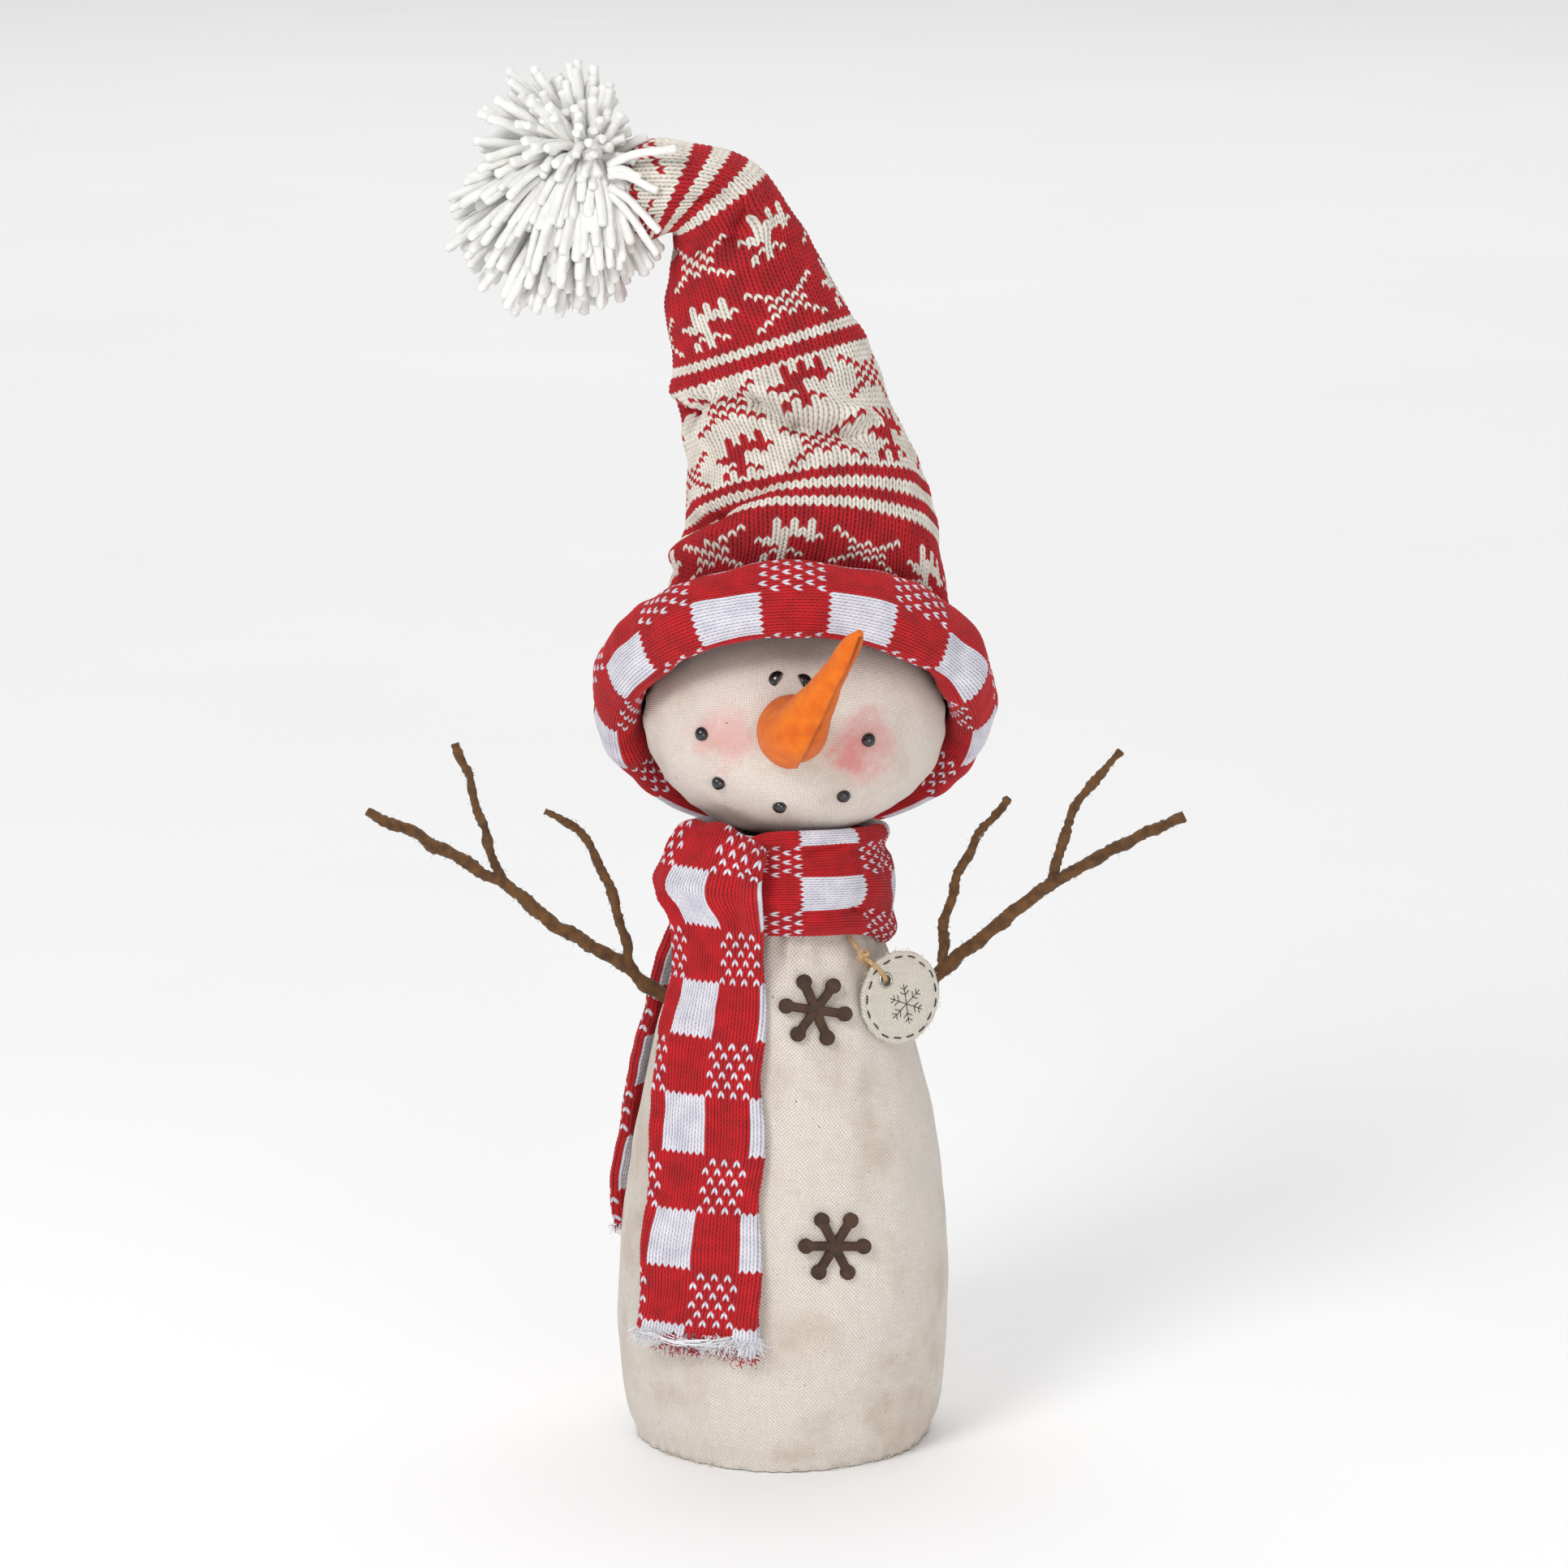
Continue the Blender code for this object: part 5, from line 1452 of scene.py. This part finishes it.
def make_button(name, x, height, turn, round_from_front, up):
    """A thick stamped tin snowflake with softened edges."""
    bm = bmesh.new()
    half = BUTTON_THICKNESS / 2
    low = [bm.verts.new((px, py, -half)) for px, py in button_outline()]
    bm.faces.new(low)
    made = bmesh.ops.extrude_face_region(bm, geom=bm.faces[:])
    raised = [v for v in made["geom"] if isinstance(v, bmesh.types.BMVert)]
    bmesh.ops.translate(bm, vec=(0, 0, 2 * half), verts=raised)
    bmesh.ops.recalc_face_normals(bm, faces=bm.faces)
    rims = [edge for edge in bm.edges if len(edge.link_faces) == 2 and edge.calc_face_angle() > 1.2
            and abs(edge.verts[0].co.z - edge.verts[1].co.z) < 0.01]
    bmesh.ops.bevel(bm, geom=rims, offset=0.32, segments=3, affect="EDGES", clamp_overlap=True)
    way = facing(round_from_front, up)
    radius = float(body_radius(np.array(float(height))))
    centre = Vector((x, -math.sqrt(radius**2 - x * x), height)) + way * (half + 0.6)
    across, above, out = facing_axes(way)
    spin = Matrix((across, above, out)).transposed().to_4x4() @ Matrix.Rotation(math.radians(turn), 4, "Z")
    bmesh.ops.transform(bm, matrix=Matrix.Scale(MM, 4) @ Matrix.Translation(centre) @ spin, verts=bm.verts)
    mesh = bpy.data.meshes.new(name + "_look")
    bm.to_mesh(mesh)
    bm.free()
    mesh.materials.append(LOOKS["rusty_metal"])
    mesh.shade_smooth()
    mesh.set_sharp_from_angle(angle=math.radians(35))
    button = add_object(name + "_look", mesh)
    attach(button, "snowman")
    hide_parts(name)


def tag_axes():
    return facing_axes(facing(TAG_YAW, TAG_LEAN))


def on_tag(flat, height):
    """Points in the frame from places on the flat tag and heights over its bulging middle layer."""
    x, y = flat[..., 0], flat[..., 1]
    bulge = 0.5 * np.sin(x / 11 + 0.4) + 0.35 * np.cos(y / 9 - 0.8)
    return place_on(np.stack([x, y, bulge + height], -1), TAG_CENTRE, tag_axes())


def make_tag():
    """Two canvas discs sewn round the edge, with an eyelet, a running stitch and a drawn snowflake."""
    turns = np.linspace(0, 2 * math.pi, 145)
    shares = np.concatenate([np.linspace(0, 0.93, 22), [0.96, 0.985, 1.0]])[:, None]
    edge = TAG_RADIUS + 0.22 * ripple(polar(20, turns, 0), 5, 51)
    inner = np.array(EYELET_PLACE) + polar(EYELET_HOLE_RADIUS + 0.45, turns)
    flat = inner[None] * (1 - shares[..., None]) + polar(edge, turns)[None] * shares[..., None]
    thick = TAG_HALF_THICKNESS * np.sqrt(np.clip(1 - np.clip((shares - 0.93) / 0.07, 0, 1) ** 2, 0, 1))
    thick = thick - 0.22 * np.exp(-(((np.hypot(flat[..., 0], flat[..., 1]) - TAG_STITCH_RADIUS) / 0.9) ** 2))
    front, back = on_tag(flat, thick), on_tag(flat, -thick)
    cloth = np.vstack([flat, flat[::-1] + 60, flat[:1] + 60])
    points = np.vstack([front, back[::-1], front[:1]])
    tag = weld(grid_object("tag_canvas_look", points, LOOKS["tag_canvas"], cloth=cloth), 0.01)
    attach(tag, "tag")
    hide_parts("tag_front", "tag_back")
    marks = [tag_stitches(), tag_drawing(), tag_fray()]
    for mark in marks:
        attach(mark, "tag")


def tag_stitches():
    """A running stitch of black thread on both faces."""
    routes = []
    for i in range(TAG_STITCHES):
        middle = 2 * math.pi * (i + 0.3) / TAG_STITCHES
        angles = np.linspace(middle - 0.105, middle + 0.105, 7)
        flat = polar(TAG_STITCH_RADIUS + 0.35 * math.sin(i * 2.4), angles)
        height = TAG_HALF_THICKNESS - 0.28 + 0.3 * np.sin(np.linspace(0, math.pi, 7))
        routes += [on_tag(flat, height), on_tag(flat, -height)]
    return many_tubes("tag_stitches", routes, [0.3] * len(routes), LOOKS["black_thread"], 8)


def tag_drawing():
    """A plain snowflake drawn in thin black lines, in place of writing."""
    lines = []
    for arm in range(6):
        angle = math.pi / 2 + arm * math.pi / 3 + 0.12
        way = np.array([math.cos(angle), math.sin(angle)])
        side = np.array([-way[1], way[0]])
        lines.append((DRAWING_CENTRE, way * DRAWING_REACH))
        for reach, size in ((3.4, 1.9), (5.4, 1.5)):
            for sign in (1, -1):
                lines.append((DRAWING_CENTRE + way * reach, way * size * 0.75 + side * sign * size))
    share = np.linspace(0, 1, 6)[:, None]
    routes = [on_tag(start + along * share, TAG_HALF_THICKNESS + 0.02) for start, along in lines]
    return many_tubes("tag_drawing", routes, [0.17] * len(routes), LOOKS["black_thread"], 6)


def tag_fray():
    """Short threads at the tag's raw edge."""
    draw = np.random.default_rng(57)
    count = 120
    angle = draw.uniform(0, 2 * math.pi, count)
    places = on_tag(polar(TAG_FRAY_RADIUS, angle), draw.uniform(-0.6, 0.6, count))
    ways = unit(place_on(polar(1, angle, 0) + draw.normal(size=(count, 3)) * 0.7, (0, 0, 0), tag_axes()))
    return loose_threads("tag_fray", places, ways, draw.uniform(0.7, 1.7, count), 0.08,
                         LOOKS["cream_thread"], 58, 0.0)


def eyelet_centre():
    across, above, _ = tag_axes()
    return TAG_CENTRE + across * EYELET_PLACE[0] + above * EYELET_PLACE[1]


def make_eyelet():
    """A rolled nickel eyelet with a rounded flange on both faces."""
    half = EYELET_HALF_HEIGHT
    profile = [(EYELET_HOLE_RADIUS, 0)]
    for side in (1, -1):
        rolled = [(EYELET_HOLE_RADIUS, half - 0.5), (EYELET_HOLE_RADIUS + 0.12, half - 0.12), (2.4, half),
                  (2.8, half - 0.06), (EYELET_FLANGE_RADIUS, half - 0.4), (2.9, half - 0.62),
                  (2.45, half - 0.45), (2.3, half - 0.7)]
        profile += [(radius, side * height) for radius, height in rolled][::side]
    profile = np.array(profile + profile[:1])
    stops = distances_along(profile)
    radius, height = smooth(stops, profile, np.linspace(0, stops[-1], 70)).T[..., None]
    points = place_on(polar(radius, np.linspace(0, 2 * math.pi, 65), height), eyelet_centre(), tag_axes())
    eyelet = weld(grid_object("tag_eyelet_look", points, LOOKS["eyelet_metal"]), 0.02)
    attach(eyelet, "tag")
    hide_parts("tag_eyelet")


def twine_route():
    """From under the scarf, through the knot and the eyelet, and back up behind to the knot."""
    _, _, out = tag_axes()
    eyelet = eyelet_centre()
    along = (KNOT_PLACE - eyelet).normalized()
    aside = (out - along * out.dot(along)).normalized()
    loop = TWINE_LOOP_RADIUS
    route = [TWINE_START, (TWINE_START + KNOT_PLACE) / 2, KNOT_PLACE, KNOT_PLACE - along * 3 + aside * 1.2]
    route.append(eyelet + along * 5.5 + aside * loop)
    for degrees in (0, 45, 90, 135, 180):
        angle = math.radians(degrees)
        route.append(eyelet + along * loop * (1 - math.sin(angle)) + aside * loop * math.cos(angle))
    route += [eyelet + along * 5.5 - aside * loop, KNOT_PLACE - along * 2 - aside * 1.6]
    return [np.array(point) for point in route]


def make_twine():
    """Two-ply jute from under the scarf to the tag and back to its knot."""
    points = np.array(twine_route())
    stops = distances_along(points)
    fine = smooth(stops, points, np.linspace(0, stops[-1], 150))
    twine = tube("tag_twine_look", fine, 0.74, LOOKS["jute"], 16, lobes=2, lobe_height=0.24,
                 twist=TWINE_TWIST)
    twine = joined("tag_twine_look", [twine, jute_hairs(fine, 60)])
    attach(twine, "twine")
    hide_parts("tag_twine")
    knot = make_knot()
    float(distances_along(fine)[-1]) * MM


def jute_hairs(route, seed):
    draw = np.random.default_rng(seed)
    count = 70
    rows = draw.integers(2, len(route) - 2, count)
    ways = unit(draw.normal(size=(count, 3)))
    share = np.linspace(0, 1, 4)
    routes = []
    for row, way in zip(rows, ways):
        hair = np.outer(share * draw.uniform(0.8, 1.8), way)
        routes.append(route[row] + way * 0.4 + hair + np.outer(share**2, draw.normal(size=3) * 0.4))
    radii = [np.array([0.06, 0.05, 0.045, 0.03])] * count
    return many_tubes("jute_hairs", routes, radii, LOOKS["jute"], 3)


def make_knot():
    """An overhand knot, drawn tight."""
    t = np.linspace(0, 2 * math.pi, 120)
    x = 1.25 * (np.sin(t) + 1.5 * np.sin(2 * t)) / 1.5
    y = 1.25 * (np.cos(t) - 1.5 * np.cos(2 * t)) / 1.5
    route = place_on(np.stack([x, y, -np.sin(3 * t)], -1), KNOT_PLACE, facing_axes(KNOT_PLACE - TWINE_START))
    knot = tube("tag_knot_look", route, 0.72, LOOKS["jute"], 14, close=False, lobes=2, lobe_height=0.22,
                twist=TWINE_TWIST)
    weld(knot, 0.08)
    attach(knot, "twine")
    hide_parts("tag_knot")
    return knot


# Studio


def make_camera():
    lift = math.radians(CAMERA_ELEVATION)
    camera = add_object("camera", bpy.data.cameras.new("camera"))
    camera.data.lens = CAMERA_LENS
    camera.data.sensor_width = 36
    camera.data.clip_end = 50
    camera.location = CAMERA_AIM + Vector((0, -math.cos(lift), math.sin(lift))) * CAMERA_DISTANCE
    camera.rotation_euler = (math.radians(90 - CAMERA_ELEVATION), 0, 0)
    bpy.context.scene.camera = camera


def make_light(name, place, size, power):
    light = bpy.data.lights.new(name, "AREA")
    light.shape = "DISK"
    light.size = size
    light.energy = power
    lamp = add_object(name, light)
    lamp.location = place
    lamp.rotation_euler = (CAMERA_AIM - Vector(place)).to_track_quat("-Z", "Y").to_euler()


def make_studio():
    x, y = np.meshgrid([-FLOOR_HALF, FLOOR_HALF], [-FLOOR_HALF, FLOOR_HALF])
    floor = grid_object("floor", np.stack([x, y, np.full(x.shape, FLOOR_HEIGHT)], -1), LOOKS["floor"])
    world = bpy.data.worlds.new("studio")
    world.use_nodes = True
    background = world.node_tree.nodes["Background"]
    background.inputs["Color"].default_value = (1, 1, 1, 1)
    background.inputs["Strength"].default_value = 0.52
    bpy.context.scene.world = world
    bpy.context.scene.view_settings.view_transform = "Standard"
    make_light("key", (-0.9, -1.5, 1.5), 0.8, 21)
    make_light("fill", (0.7, -2.0, 0.22), 1.2, 15)
    make_light("overhead", (0, 3.2, 5), 8, 170)


make_camera()
make_twine()
dress_cad_nodes()
make_studio()
make_body()
make_base_hem()
make_head()
make_beads()
make_nose()
make_hat()
make_brim()
make_wrap()
make_front_tail()
make_back_tail()
make_pompom()
make_twigs()
for button_name, button_place in BUTTONS.items():
    make_button(button_name, *button_place)
make_tag()
make_eyelet()
